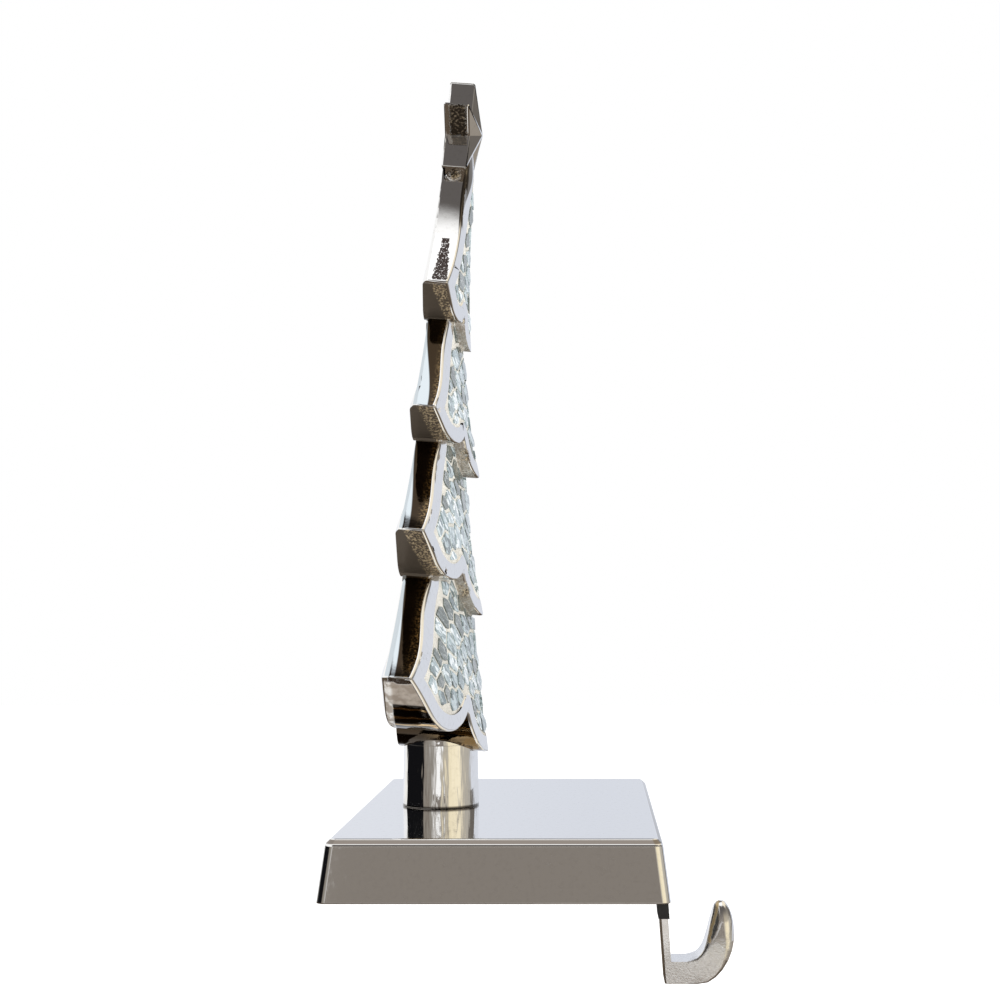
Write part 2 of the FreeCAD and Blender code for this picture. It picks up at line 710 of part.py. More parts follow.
def star_shape():
    """Five-pointed star with a faceted front, upright in the tree's plane."""
    centre_h = star_height()
    rim = []
    for step in range(10):
        radius = STAR_RADIUS if step % 2 == 0 else STAR_RADIUS * STAR_INNER_RATIO
        angle = math.radians(90 + 36 * step)
        rim.append((radius * math.cos(angle), centre_h + radius * math.sin(angle)))
    back = [Vector(0, y, h) for y, h in rim]
    front = [Vector(STAR_RIM_THICKNESS, y, h) for y, h in rim]
    peak = Vector(STAR_PEAK, 0, centre_h)
    faces = [Part.Face(Part.makePolygon(back + back[:1]))]
    for step in range(10):
        after = (step + 1) % 10
        faces.append(Part.Face(Part.makePolygon(
            [back[step], back[after], front[after], front[step], back[step]])))
        faces.append(Part.Face(Part.makePolygon(
            [front[step], front[after], peak, front[step]])))
    star = Part.makeSolid(Part.makeShell(faces))
    reach = STAR_RADIUS - STAR_POINT_CUT
    for step in range(5):
        blunt = Part.makeBox(FAR, FAR, FAR, Vector(-1.0, -FAR / 2.0, reach))
        blunt.rotate(Vector(0, 0, 0), Vector(1, 0, 0), 72 * step)
        blunt.translate(Vector(0, 0, centre_h))
        star = star.cut(blunt)
    return star


def star_height():
    """Height of the star's middle above the base's top, along the back plane."""
    return top_height(0) - STAR_SEAT + STAR_RADIUS * STAR_INNER_RATIO


def stand_up(shape):
    """Lean a shape made in the upright plane and set it on the base."""
    placed = shape.copy()
    placed.rotate(Vector(0, 0, 0), Vector(0, 1, 0), TREE_LEAN)
    placed.translate(Vector(TREE_BACK_X, 0, ROOF_TOP_Z))
    return placed


def tree_casting(fronts, star):
    """Four tiers and the trunk, one casting with a sunk field in each tier."""
    body = None
    for index in range(len(TIERS)):
        tier = tier_blank(index).common(fronts[index])
        body = tier if body is None else body.fuse(tier)
    for index in range(len(TIERS)):
        body = body.cut(field_slab(index, fronts[index], -1.0))
    body = stand_up(body.cut(star))
    trunk = Part.makeCone(TRUNK_FOOT_RADIUS, TRUNK_TOP_RADIUS, TRUNK_TOP_Z - ROOF_TOP_Z,
                          Vector(TRUNK_X, 0, ROOF_TOP_Z))
    bore = upright(BOLT_RADIUS, ROOF_TOP_Z - 1.0, ROOF_TOP_Z + BOLT_IN_TRUNK + THREAD_END_GAP,
                   Vector(TRUNK_X, 0, 0))
    return body.fuse(trunk).cut(bore)


def export(name, shape):
    """Write one sub-part, as one solid or a group of separate solids."""
    if isinstance(shape, list):
        shape = Part.makeCompound(shape)
    solids = shape.Solids
    shape = solids[0] if len(solids) == 1 else Part.makeCompound(solids)
    shape.exportStep("parts/%s.step" % name)
    print(name, "solids", len(solids), "volume cm3 %.2f" % (shape.Volume / 1000.0),
          "valid", shape.isValid())


def main():
    os.makedirs("parts", exist_ok=True)
    fronts = [relief(index) for index in range(len(TIERS))]
    star = star_shape()
    export("tree_casting", tree_casting(fronts, star))
    export("star", stand_up(star))
    for index, front in enumerate(fronts):
        chips = glass_chips(index, front)
        grout = field_slab(index, front, GROUT_SINK).cut(Part.makeCompound(chips))
        export("grout_tier_%d" % (index + 1), stand_up(grout))
        export("glass_tier_%d" % (index + 1), [stand_up(chip) for chip in chips])
    export("base_shell", base_shell())
    export("ballast_plate", ballast_plate())
    export("ballast_screws", ballast_screws())
    export("felt_pad", felt_pad())
    export("trunk_washer", trunk_washer())
    export("trunk_bolt", trunk_bolt())
    export("hook", hook())
    export("hook_screws", hook_screws())
    export("hook_sleeve", hook_sleeve())


main()
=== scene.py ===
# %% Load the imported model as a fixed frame
import json
import math
import random

import bmesh
import bpy
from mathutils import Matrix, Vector


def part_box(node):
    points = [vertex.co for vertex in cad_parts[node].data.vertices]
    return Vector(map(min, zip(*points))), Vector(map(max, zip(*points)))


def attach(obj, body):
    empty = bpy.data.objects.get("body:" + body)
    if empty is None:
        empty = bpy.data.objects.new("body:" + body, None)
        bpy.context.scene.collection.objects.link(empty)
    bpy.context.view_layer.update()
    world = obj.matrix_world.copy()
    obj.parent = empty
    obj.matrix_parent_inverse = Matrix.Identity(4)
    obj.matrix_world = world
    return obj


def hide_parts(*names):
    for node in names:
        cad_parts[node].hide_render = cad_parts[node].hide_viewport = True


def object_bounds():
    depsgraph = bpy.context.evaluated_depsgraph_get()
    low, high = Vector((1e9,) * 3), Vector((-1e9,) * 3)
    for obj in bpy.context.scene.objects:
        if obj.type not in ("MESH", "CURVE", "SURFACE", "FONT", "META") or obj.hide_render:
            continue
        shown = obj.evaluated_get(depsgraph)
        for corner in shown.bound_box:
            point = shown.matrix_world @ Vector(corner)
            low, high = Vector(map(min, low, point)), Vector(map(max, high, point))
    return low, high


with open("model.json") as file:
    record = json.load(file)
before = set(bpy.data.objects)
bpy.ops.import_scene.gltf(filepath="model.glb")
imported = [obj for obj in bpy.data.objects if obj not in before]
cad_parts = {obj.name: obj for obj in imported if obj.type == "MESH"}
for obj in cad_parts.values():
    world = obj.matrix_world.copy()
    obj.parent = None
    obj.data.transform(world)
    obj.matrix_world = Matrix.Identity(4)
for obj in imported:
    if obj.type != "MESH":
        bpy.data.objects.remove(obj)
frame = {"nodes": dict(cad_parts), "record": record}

cad_low, cad_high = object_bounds()
nodes = frame["nodes"]
print("CAD nodes:", len(nodes))
print("CAD box in mm:", [round(1000 * v, 1) for v in (*cad_low, *cad_high)])

# %% [markdown]
# The camera comes first, because every finish is judged from where the photograph was taken.
# The photograph looks straight at the holder's side, level, from half a metre away and a
# little above the base's top. The picture was cropped afterwards, so the lens's axis isn't in
# the middle of the frame. A lens shift gives that crop without tilting the camera.

# %% Camera
CAMERA_PLACE = Vector((0.0255, -0.5082, 0.082))
CAMERA_LENS = 59.4
CAMERA_SENSOR = 36.0
CAMERA_SHIFT = (-0.090, 0.094)
CAMERA_NEAR = 0.01


def add_camera():
    """A level camera that looks along +Y."""
    bpy.ops.object.camera_add(location=CAMERA_PLACE, rotation=(math.radians(90), 0, 0))
    camera = bpy.context.object
    camera.name = "photo_camera"
    camera.data.lens = CAMERA_LENS
    camera.data.sensor_width = CAMERA_SENSOR
    camera.data.shift_x, camera.data.shift_y = CAMERA_SHIFT
    camera.data.clip_start = CAMERA_NEAR
    bpy.context.scene.camera = camera
    return camera


camera = add_camera()
print("camera lens", camera.data.lens, "mm, shift", CAMERA_SHIFT)

# %% [markdown]
# Materials and the studio are both trees of shader nodes. Written out in full, each node takes
# four or five lines. This small helper adds a node, links it and sets its numbers, so that
# the lines that follow read like the finish that they describe. Most of them deal in masks:
# a mask is a number from 0 to 1 that says how much of a finish shows at a place.

# %% A helper that writes shader nodes
class Graph:
    """Adds nodes to one node tree and links them."""

    def __init__(self, tree):
        self.tree = tree

    def node(self, kind, **settings):
        made = self.tree.nodes.new(kind)
        for key, value in settings.items():
            setattr(made, key, value)
        return made

    def feed(self, value, socket):
        """Link a socket, or set a plain number or colour."""
        if hasattr(value, "is_linked"):
            self.tree.links.new(value, socket)
        else:
            socket.default_value = value

    def math(self, operation, a, b=0.0):
        made = self.node("ShaderNodeMath", operation=operation)
        self.feed(a, made.inputs[0])
        self.feed(b, made.inputs[1])
        return made.outputs[0]

    def times(self, *masks):
        """Multiply masks: the result is 1 only where all of them are 1."""
        made = masks[0]
        for mask in masks[1:]:
            made = self.math("MULTIPLY", made, mask)
        return made

    def ramp(self, value, low, high, to_low=0.0, to_high=1.0):
        """Smoothly map value from low..high to to_low..to_high."""
        made = self.node("ShaderNodeMapRange", interpolation_type="SMOOTHSTEP")
        for socket, number in zip(made.inputs, (value, low, high, to_low, to_high)):
            self.feed(number, socket)
        return made.outputs[0]

    def band(self, value, low, high, soft):
        """1 from low to high, fading to 0 over the distance soft outside them."""
        return self.times(self.ramp(value, low - soft, low), self.ramp(value, high + soft, high))

    def mix(self, share, a, b):
        """Mix two colours. Inputs 6 and 7 and output 2 are the node's colour sockets."""
        made = self.node("ShaderNodeMix", data_type="RGBA")
        self.feed(share, made.inputs[0])
        self.feed(a, made.inputs[6])
        self.feed(b, made.inputs[7])
        return made.outputs[2]

    def stops(self, value, table):
        """A colour ramp from a list of (place, colour)."""
        made = self.node("ShaderNodeValToRGB")
        elements = made.color_ramp.elements
        elements.remove(elements[1])
        for index, (place, colour) in enumerate(table):
            stop = elements[0] if index == 0 else elements.new(place)
            stop.position = place
            stop.color = (*colour, 1.0)
        self.feed(value, made.inputs[0])
        return made.outputs[0]

    def split(self, vector):
        """The three numbers of a vector."""
        made = self.node("ShaderNodeSeparateXYZ")
        self.feed(vector, made.inputs[0])
        return made.outputs


print("node helper ready")

# %% [markdown]
# Polished nickel has almost no colour of its own: what we see in it is the studio. So the
# studio is described by direction. All round the horizon stand cards and gaps: white behind
# the holder, a black flag on the left, a warm grey room behind the camera and a cream curtain
# between the camera and the front. The bands below list them by compass angle, one at the
# height of the horizon and one above it.

# %% Studio cards round the horizon
# The angle is 0 behind the camera, +90 in front of the tree and -90 at its back.
BACKDROP = (0.70, 0.73, 0.80)
BACKDROP_LEFT = (0.90, 0.92, 0.97)
BLACK_FLAG = (0.006, 0.006, 0.007)
DARK_FLAG = (0.05, 0.05, 0.05)
UPPER_ROOM = (0.235, 0.21, 0.185)
LOW_BAND = [
    (-180, BACKDROP), (-150, BACKDROP_LEFT), (-127, (0.95, 0.93, 0.88)), (-121, BLACK_FLAG),
    (-50, BLACK_FLAG), (-43, (0.24, 0.21, 0.18)), (-24, (0.30, 0.28, 0.25)),
    (-14, (0.62, 0.60, 0.58)), (-10, (1.0, 1.0, 1.0)), (8, (1.0, 1.0, 1.0)),
    (12, (0.46, 0.43, 0.38)), (20, (0.52, 0.47, 0.38)), (26, (0.88, 0.78, 0.56)),
    (60, (0.98, 0.88, 0.66)), (76, (0.50, 0.46, 0.39)), (106, (0.42, 0.40, 0.37)),
    (114, BACKDROP), (180, BACKDROP),
]
HIGH_BAND = [
    (-180, BACKDROP), (-150, BACKDROP_LEFT), (-127, (0.95, 0.95, 0.96)), (-115, DARK_FLAG),
    (-55, (0.05, 0.045, 0.04)), (-40, UPPER_ROOM), (14, UPPER_ROOM),
    (26, (0.50, 0.44, 0.34)), (75, (0.42, 0.38, 0.32)), (98, (0.16, 0.145, 0.13)),
    (118, (0.14, 0.125, 0.11)), (124, BACKDROP), (180, BACKDROP),
]


def as_stops(band):
    """Turn compass angles into places from 0 to 1 on a colour ramp."""
    return [(angle / 360.0 + 0.5, colour) for angle, colour in band]


print("cards round the horizon:", len(LOW_BAND), "low,", len(HIGH_BAND), "above")

# %% [markdown]
# More cards hang over the holder. The room behind the camera gets darker with height, and a
# softbox shines straight overhead. High up behind the holder there is a dark gap. A white card
# hangs over the tree's back and a golden one over its front. The ground is brown, with a paler
# patch in front and a pale path towards the camera. Each card is a row in a table: its colour
# and the edges where it fades in, so one function can hang them all.

# %% Cards on the ceiling and the ground
# Along x, y, z or the compass, an edge has a place where the card starts and one where it is
# full. x is the front, y is behind the holder, z is up. The compass runs from 0 to 1 once
# round, with 0.5 behind the camera.
CEILING_CARDS = {
    "front flag": ((0.15, 0.135, 0.12, 1.0), [
        ("compass", 0.775, 0.785), ("compass", 0.872, 0.862), ("z", 0.09, 0.13),
        ("z", 0.36, 0.26)]),
    "upper room": ((0.115, 0.105, 0.10, 1.0), [("y", 0.05, -0.15), ("z", 0.25, 0.70)]),
    "softbox": ((1.25, 1.25, 1.25, 1.0), [("z", 0.85, 0.97), ("y", 0.30, 0.22)]),
    "white card": ((1.0, 1.0, 1.0, 1.0), [("x", -0.24, -0.40), ("z", 0.20, 0.40)]),
    "dark gap": ((0.030, 0.017, 0.008, 1.0), [
        ("z", 0.55, 0.72), ("y", 0.22, 0.30), ("x", -0.36, -0.22)]),
    "golden card": ((0.95, 0.86, 0.70, 1.0), [
        ("x", 0.12, 0.34), ("x", 0.85, 0.60), ("y", -0.30, -0.20), ("z", 0.45, 0.60)]),
}
GROUND = (0.105, 0.080, 0.058, 1.0)
GROUND_CARDS = {
    "patch in front": ((0.31, 0.275, 0.235, 1.0), [("x", 0.35, 0.50), ("z", -0.52, -0.42)]),
    "pale path": ((0.60, 0.55, 0.50, 1.0), [
        ("compass", 0.495, 0.503), ("compass", 0.60, 0.56), ("z", -0.50, -0.32)]),
}


def hang_cards(g, place, colour, cards):
    """Lay each card over the colour that is there already."""
    for card_colour, edges in cards.values():
        mask = g.times(*[g.ramp(place[axis], start, full) for axis, start, full in edges])
        colour = g.mix(mask, colour, card_colour)
    return colour


print("ceiling:", ", ".join(CEILING_CARDS), "- ground:", ", ".join(GROUND_CARDS))

# %% [markdown]
# Now the studio is put together. The flat sides of the base and the tree mirror a strip just
# above the horizon, so the low band is shown there once more. The camera itself sees plain
# white, as in a product photograph, through the Light Path node: the cards are only for the
# reflections.

# %% The studio
HORIZON = (-0.035, -0.010)
STRIP_TOP = (0.215, 0.20)
STRIP_FOOT = 0.03
STRIP_FOOT_AHEAD = 0.170
AHEAD = (0.030, 0.045)
STRIP_LEFT_END = (0.145, 0.150)
STRIP_RIGHT_END = (0.802, 0.797)
GROUND_EDGE = (-0.15, -0.21)
PLAIN_WHITE = (1.0, 1.0, 1.0, 1.0)


def compass_of(g, x, y):
    """The compass angle as a number from 0 to 1."""
    angle = g.math("ARCTAN2", x, g.math("MULTIPLY", y, -1.0))
    return g.math("ADD", g.math("DIVIDE", angle, 2.0 * math.pi), 0.5)


def second_strip(g, compass, z):
    """Mask of the strip above the horizon. It is narrower close to the camera's direction."""
    beside = g.ramp(g.math("ABSOLUTE", g.math("SUBTRACT", compass, 0.5)), *AHEAD)
    foot = g.ramp(beside, 0.0, 1.0, STRIP_FOOT_AHEAD, STRIP_FOOT)
    strip = g.times(g.ramp(z, foot, g.math("ADD", foot, 0.01)), g.ramp(z, *STRIP_TOP))
    return g.times(strip, g.ramp(compass, *STRIP_LEFT_END), g.ramp(compass, *STRIP_RIGHT_END))


def build_world():
    """A studio that depends on direction only."""
    world = bpy.data.worlds.new("studio")
    world.use_nodes = True
    world.node_tree.nodes.clear()
    g = Graph(world.node_tree)
    x, y, z = g.split(g.node("ShaderNodeTexCoord").outputs["Generated"])
    compass = compass_of(g, x, y)
    place = {"x": x, "y": y, "z": z, "compass": compass}
    low = g.stops(compass, as_stops(LOW_BAND))
    colour = g.mix(g.ramp(z, *HORIZON), low, g.stops(compass, as_stops(HIGH_BAND)))
    colour = g.mix(second_strip(g, compass, z), colour, low)
    colour = hang_cards(g, place, colour, CEILING_CARDS)
    ground = hang_cards(g, place, GROUND, GROUND_CARDS)
    colour = g.mix(g.ramp(z, *GROUND_EDGE), colour, ground)
    seen = g.node("ShaderNodeLightPath").outputs["Is Camera Ray"]
    background = g.node("ShaderNodeBackground")
    g.feed(g.mix(seen, colour, PLAIN_WHITE), background.inputs["Color"])
    out = g.node("ShaderNodeOutputWorld")
    g.feed(background.outputs[0], out.inputs["Surface"])
    bpy.context.scene.world = world
    return world


world = build_world()
bpy.context.scene.view_settings.view_transform = "Standard"
print("world nodes:", len(world.node_tree.nodes))

# %% [markdown]
# Grout, glass and felt scatter light, and the dim room would leave them grey. Three large soft
# lamps light them. The lamps are hidden from mirror reflections, so that they put no square
# highlight on the nickel, which the photograph doesn't show.

# %% Soft lamps
OBJECT_MIDDLE = Vector((0.0, 0.0, 0.10))
# place, size in metres, watts
LAMPS = {
    "front_lamp": ((0.70, -0.30, 0.35), 0.6, 3.2),
    "side_lamp": ((-0.10, -0.80, 0.55), 0.6, 3.0),
    "back_lamp": ((-0.60, 0.50, 0.40), 0.6, 3.0),
}


def add_lamp(name, place, size, watts):
    """A square soft lamp that points at the middle of the object."""
    bpy.ops.object.light_add(type="AREA", location=place)
    lamp = bpy.context.object
    lamp.name = name
    lamp.data.size = size
    lamp.data.energy = watts
    aim = OBJECT_MIDDLE - Vector(place)
    lamp.rotation_euler = aim.to_track_quat("-Z", "Y").to_euler()
    lamp.visible_glossy = False
    return lamp


lamps = [add_lamp(name, *values) for name, values in LAMPS.items()]
print("lamps:", [lamp.name for lamp in lamps])

# %% [markdown]
# The floor is a plain sheet far below the hook. The photograph has no shadow on it at all, so
# the sheet gives off most of its white by itself.

# %% Pale floor
FLOOR_DROP = 0.12
FLOOR_SIZE = 6.0
FLOOR_LOOK = {
    "Base Color": (0.60, 0.60, 0.60, 1.0), "Roughness": 0.9, "Specular IOR Level": 0.0,
    "Emission Color": (1.0, 1.0, 1.0, 1.0), "Emission Strength": 0.80,
}


def add_floor():
    bpy.ops.mesh.primitive_plane_add(size=FLOOR_SIZE, location=(0, 0, cad_low.z - FLOOR_DROP))
    floor = bpy.context.object
    floor.name = "studio_floor"
    bpy.ops.object.transform_apply(location=True)
    material = bpy.data.materials.new("pale_floor")
    material.use_nodes = True
    shader = material.node_tree.nodes["Principled BSDF"]
    for label, value in FLOOR_LOOK.items():
        shader.inputs[label].default_value = value
    floor.data.materials.append(material)
    floor.visible_glossy = False
    return floor


floor = add_floor()
print("floor at z", round(cad_low.z - FLOOR_DROP, 3))

# %% [markdown]
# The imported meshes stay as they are. A piece that needs a finish of its own gets a copy: its
# triangles are joined into one closed mesh, and triangles in one plane become one face again.
# The copy then stands for the CAD node in the picture. The distance for joining points is a
# twenty-fifth of a millimetre, just enough to close the tiny slivers where the tree's curved
# faces meet.

# %% A merged copy of a CAD node
MERGE_DISTANCE = 0.00004
FLAT_ANGLE = math.radians(0.1)
slot_of = {row["node"]: row["material_slot"] for row in frame["record"]["subparts"]}


def only(piece):
    """Select one object and make it the active one."""
    bpy.ops.object.select_all(action="DESELECT")
    piece.select_set(True)
    bpy.context.view_layer.objects.active = piece


def merged_copy(node, name):
    """Copy a CAD node's triangles as one closed mesh with whole flat faces."""
    piece = nodes[node].copy()
    piece.data = nodes[node].data.copy()
    piece.name = name
    piece.data.name = name
    bpy.context.collection.objects.link(piece)
    mesh = bmesh.new()
    mesh.from_mesh(piece.data)
    bmesh.ops.remove_doubles(mesh, verts=mesh.verts, dist=MERGE_DISTANCE)
    bmesh.ops.dissolve_limit(mesh, angle_limit=FLAT_ANGLE, verts=mesh.verts, edges=mesh.edges)
    mesh.to_mesh(piece.data)
    mesh.free()
    only(piece)
    bpy.ops.mesh.customdata_custom_splitnormals_clear()
    return piece


def dress(piece, node):
    """Let the piece stand for its CAD node."""
    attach(piece, "root")
    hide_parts(node)
    print(piece.name, len(piece.data.polygons), "faces")


print("slots:", sorted(set(slot_of.values())))

# %% [markdown]
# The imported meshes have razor-sharp edges. On a polished casting the edges are what the eye
# sees first: each is rounded by the buffing wheel and mirrors the whole studio in a bright
# line. A bevel modifier does the rounding. Its width goes onto the edges as a weight, so that
# one modifier can round the outer edges fully and leave the edges of a sunk field crisp.

# %% Rounded edges
SHARP = math.radians(28.0)


def round_edges(piece, widest, weight_at, segments=3):
    """Bevel each sharp edge by widest times the weight that weight_at gives it."""
    mesh = bmesh.new()
    mesh.from_mesh(piece.data)
    layer = mesh.edges.layers.float.new("bevel_weight_edge")
    for edge in mesh.edges:
        if edge.is_convex and edge.calc_face_angle(0.0) > SHARP:
            edge[layer] = weight_at(edge)
    mesh.to_mesh(piece.data)
    mesh.free()
    only(piece)
    bpy.ops.object.shade_smooth_by_angle(angle=SHARP)
    bevel = piece.modifiers.new("rounding", "BEVEL")
    bevel.limit_method = "WEIGHT"
    bevel.width = widest
    bevel.segments = segments
    bevel.use_clamp_overlap = False
    bevel.harden_normals = True
    bpy.ops.object.modifier_apply(modifier=bevel.name)
    return piece


def everywhere(edge):
    """The weight for a piece whose sharp edges are all alike."""
    return 1.0


print("bevel helper ready")

# %% [markdown]
# The tree leans forward a little, so its own directions are kept: depth from the flat back,
# distance from the middle, and height along the back. They tell the outer edges, which a
# buffing wheel has rounded, from the crisp rims of the sunk fields, and they place the patina
# later on.

# %% The tree's own directions
TREE_LEAN = math.radians(4.08)
TREE_FOOT = Vector((-0.0333, 0.0, 0.0172))
TREE_FORWARD = Vector((math.cos(TREE_LEAN), 0.0, -math.sin(TREE_LEAN)))
TREE_UP = Vector((math.sin(TREE_LEAN), 0.0, math.cos(TREE_LEAN)))


def on_tree(depth, across, height):
    """A point given in mm from the back plane, from the middle and up along the plane."""
    sideways = Vector((0.0, across / 1000.0, 0.0))
    return TREE_FOOT + (TREE_FORWARD * depth + TREE_UP * height) / 1000.0 + sideways


print("tree leans", round(math.degrees(TREE_LEAN), 2), "degrees")

# %% [markdown]
# Which edges of the tree are outer ones? An edge of the outline belongs to a tall wall that
# looks away from the middle of its tier. The rim round a sunk field belongs to a low wall that
# looks inwards. So each edge asks the wall beside it for its depth and its direction.

# %% The tree, its outer edges rounded
TREE_ROUNDING = 0.0008
# for each tier: height of its middle, height of its foot, half-width of its tips
TIER_MIDDLES = [(0.160, 0.1406, 0.0272), (0.122, 0.1019, 0.0395), (0.086, 0.0598, 0.0524),
                (0.046, 0.0182, 0.0660)]
TIER_FOOT_SLACK = 0.001
BACK_DEPTH = 0.0024
RIM_DEPTH = 0.0022
NECK_WEIGHT = 0.4


def on_outline(edge):
    """1 on the outer edges of a tier's front, 0 on the rim of its field and at its back."""
    middle = (edge.verts[0].co + edge.verts[1].co) / 2.0 - TREE_FOOT
    if middle.dot(TREE_FORWARD) < BACK_DEPTH:
        return 0.0
    wall = min(edge.link_faces, key=lambda face: abs(face.normal.dot(TREE_FORWARD)))
    depths = [vert.co.dot(TREE_FORWARD) for vert in wall.verts]
    if max(depths) - min(depths) < RIM_DEPTH:
        return 0.0
    height = middle.dot(TREE_UP)
    for centre, foot, reach in TIER_MIDDLES:
        if height > foot - TIER_FOOT_SLACK and abs(middle.y) < reach:
            outward = wall.normal.y * middle.y + wall.normal.dot(TREE_UP) * (height - centre)
            return 1.0 if outward > 0.0 else 0.0
    return NECK_WEIGHT


tree = round_edges(merged_copy("tree_casting", "tree"), TREE_ROUNDING, on_outline)
dress(tree, "tree_casting")

# %% [markdown]
# The patina and the painted shade lie on the tree's side walls and not on its front or back.
# The material can't know which is which, so every face is told here, in an attribute that the
# material reads: 1 for a wall, 0 for the rest. The trunk low down is buffed all round, so it
# counts as front.

# %% Mark the tree's side walls
WALL_LOOKS = (-0.6, 0.2)
TRUNK_TOP = 0.024
TRUNK_HALF = 0.0135
UPRIGHT = 0.35


def mark_walls(piece):
    """Write 1 to the faces that look sideways and 0 to those that look forward or back."""
    values = []
    for face in piece.data.polygons:
        sideways = WALL_LOOKS[0] < face.normal.dot(TREE_FORWARD) < WALL_LOOKS[1]
        low = (face.center - TREE_FOOT).dot(TREE_UP) < TRUNK_TOP
        on_trunk = low and abs(face.center.y) < TRUNK_HALF
        upright = abs(face.normal.dot(TREE_UP)) < UPRIGHT
        values.append(1.0 if sideways and not (on_trunk and upright) else 0.0)
    layer = piece.data.attributes.new("wall", "FLOAT", "FACE")
    layer.data.foreach_set("value", values)
    return int(sum(values))


print("wall faces:", mark_walls(tree))

# %% [markdown]
# The star is a small faceted casting brazed on the neck, and the base is a hollow one with a
# bevel round its top. Both were buffed all over, so all their edges get the same rounding.
# The hook's horn is round already, and only its flat strap has edges to round.

# %% Star, base and hook with rounded edges
STAR_ROUNDING = 0.0005
BASE_ROUNDING = 0.0004
HOOK_ROUNDING = 0.0005
HORN_START_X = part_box("hook_sleeve")[1].x + 0.004


def on_strap(edge):
    """1 on the hook's flat strap and 0 on its horn."""
    return 1.0 if max(vert.co.x for vert in edge.verts) < HORN_START_X else 0.0


star = round_edges(merged_copy("star", "star_finished"), STAR_ROUNDING, everywhere)
dress(star, "star")
base = round_edges(merged_copy("base_shell", "base"), BASE_ROUNDING, everywhere)
dress(base, "base_shell")
hook = round_edges(merged_copy("hook", "hook_finished"), HOOK_ROUNDING, on_strap)
dress(hook, "hook")

# %% [markdown]
# The mosaic is made of pieces of crackle glass: safety glass that was broken on purpose and
# laid by hand. No two chips have the same tone, so every chip gets random numbers of its
# own, kept on its points as a colour attribute that the material reads. The tiers get darker
# towards their tops, a painted shade under the tier above, as in the photograph. A chip is
# found by walking from point to point along its edges, because nothing joins it to its
# neighbours.

# %% Random tones for chips, with painted shade towards each tier's top
DARK_SHARE = 0.04
SHADE_DARK_AT_TOP = 0.60
SHADE_DIMMER_AT_TOP = 0.45
chance = random.Random(7)


def chip_points(first, seen):
    """All points of the loose chip that the point first belongs to."""
    seen.add(first.index)
    points = [first]
    for point in points:
        for edge in point.link_edges:
            other = edge.other_vert(point)
            if other.index not in seen:
                seen.add(other.index)
                points.append(other)
    return points


def tone_chips(piece):
    """Give each loose chip one random colour: tone, pattern offset and a dark flag, with painted
    shade making tones dimmer and dark flags likelier towards the tier's top.
    """
    mesh = bmesh.new()
    mesh.from_mesh(piece.data)
    layer = mesh.verts.layers.float_color.new("chip")
    mesh.verts.index_update()
    low_z = min(point.co.z for point in mesh.verts)
    span = max(point.co.z for point in mesh.verts) - low_z
    seen, count = set(), 0
    for first in mesh.verts:
        if first.index in seen:
            continue
        points = chip_points(first, seen)
        height = sum((point.co.z - low_z) / span for point in points) / len(points)
        # Painted shade: dark chips grow more common and tones dimmer towards the tier's top.
        dark = 1.0 if chance.random() < DARK_SHARE + SHADE_DARK_AT_TOP * height ** 2 else 0.0
        tone = chance.random() * (1.0 - SHADE_DIMMER_AT_TOP * height)
        value = (tone, chance.random(), dark, 1.0)
        for point in points:
            point[layer] = value
        count += 1
    mesh.to_mesh(piece.data)
    mesh.free()
    return count


print("chips: dark ones from", DARK_SHARE, "at the foot to", DARK_SHARE + SHADE_DARK_AT_TOP, "at the top")

# %% [markdown]
# A chip's edges are nipped with pliers, not ground, and get only a hair of rounding. All the
# chips of one tier stay in one object, as they are one group in the record.

# %% The chips of the four tiers
CHIP_ROUNDING = 0.00016


def finish_chips(tier):
    node = "glass_tier_%d" % tier
    chips = merged_copy(node, "chips_tier_%d" % tier)
    count = tone_chips(chips)
    round_edges(chips, CHIP_ROUNDING, everywhere, segments=2)
    dress(chips, node)
    print("  chips:", count)
    return chips


chips = [finish_chips(tier) for tier in range(1, 5)]

# %% [markdown]
# Three effects are used by more than one finish, so each is a node group with named sockets:
# hand_polish is the slow waviness and fine wipe marks of a buffed face, cast_pits is the
# granular skin where the buffing wheel couldn't reach, and grain is the fine mottling of
# grout, felt and rubber. A group only puts out heights and masks. The shader stays in the
# material itself.

# %% A helper for node groups, and noise
def new_group(name, inputs, outputs):
    """An empty shader node group with float and vector sockets."""
    group = bpy.data.node_groups.new(name, "ShaderNodeTree")
    for label, kind, value in inputs:
        socket = group.interface.new_socket(label, in_out="INPUT", socket_type=kind)
        if value is not None:
            socket.default_value = value
    for label in outputs:
        group.interface.new_socket(label, in_out="OUTPUT", socket_type="NodeSocketFloat")
    g = Graph(group)
    return group, g, g.node("NodeGroupInput").outputs, g.node("NodeGroupOutput").inputs


def noise_of(g, coords, scale, detail=3.0, rough=0.5):
    """Cloudy noise from 0 to 1 on the piece's own coordinates."""
    made = g.node("ShaderNodeTexNoise")
    g.feed(coords, made.inputs["Vector"])
    g.feed(scale, made.inputs["Scale"])
    made.inputs["Detail"].default_value = detail
    made.inputs["Roughness"].default_value = rough
    return made.outputs["Fac"]


print("group helper ready")

# %% Shared effects as node groups
def hand_polish_group():
    group, g, given, out = new_group(
        "hand_polish",
        [("Place", "NodeSocketVector", None), ("Wave", "NodeSocketFloat", 40.0),
         ("Wipe", "NodeSocketFloat", 700.0)],
        ["Wave Height", "Wipe Height", "Dull"])
    wave = noise_of(g, given["Place"], given["Wave"], 1.5)
    wipe = noise_of(g, given["Place"], given["Wipe"], 4.0)
    g.feed(wave, out["Wave Height"])
    g.feed(wipe, out["Wipe Height"])
    g.feed(g.ramp(wipe, 0.45, 0.85), out["Dull"])
    return group


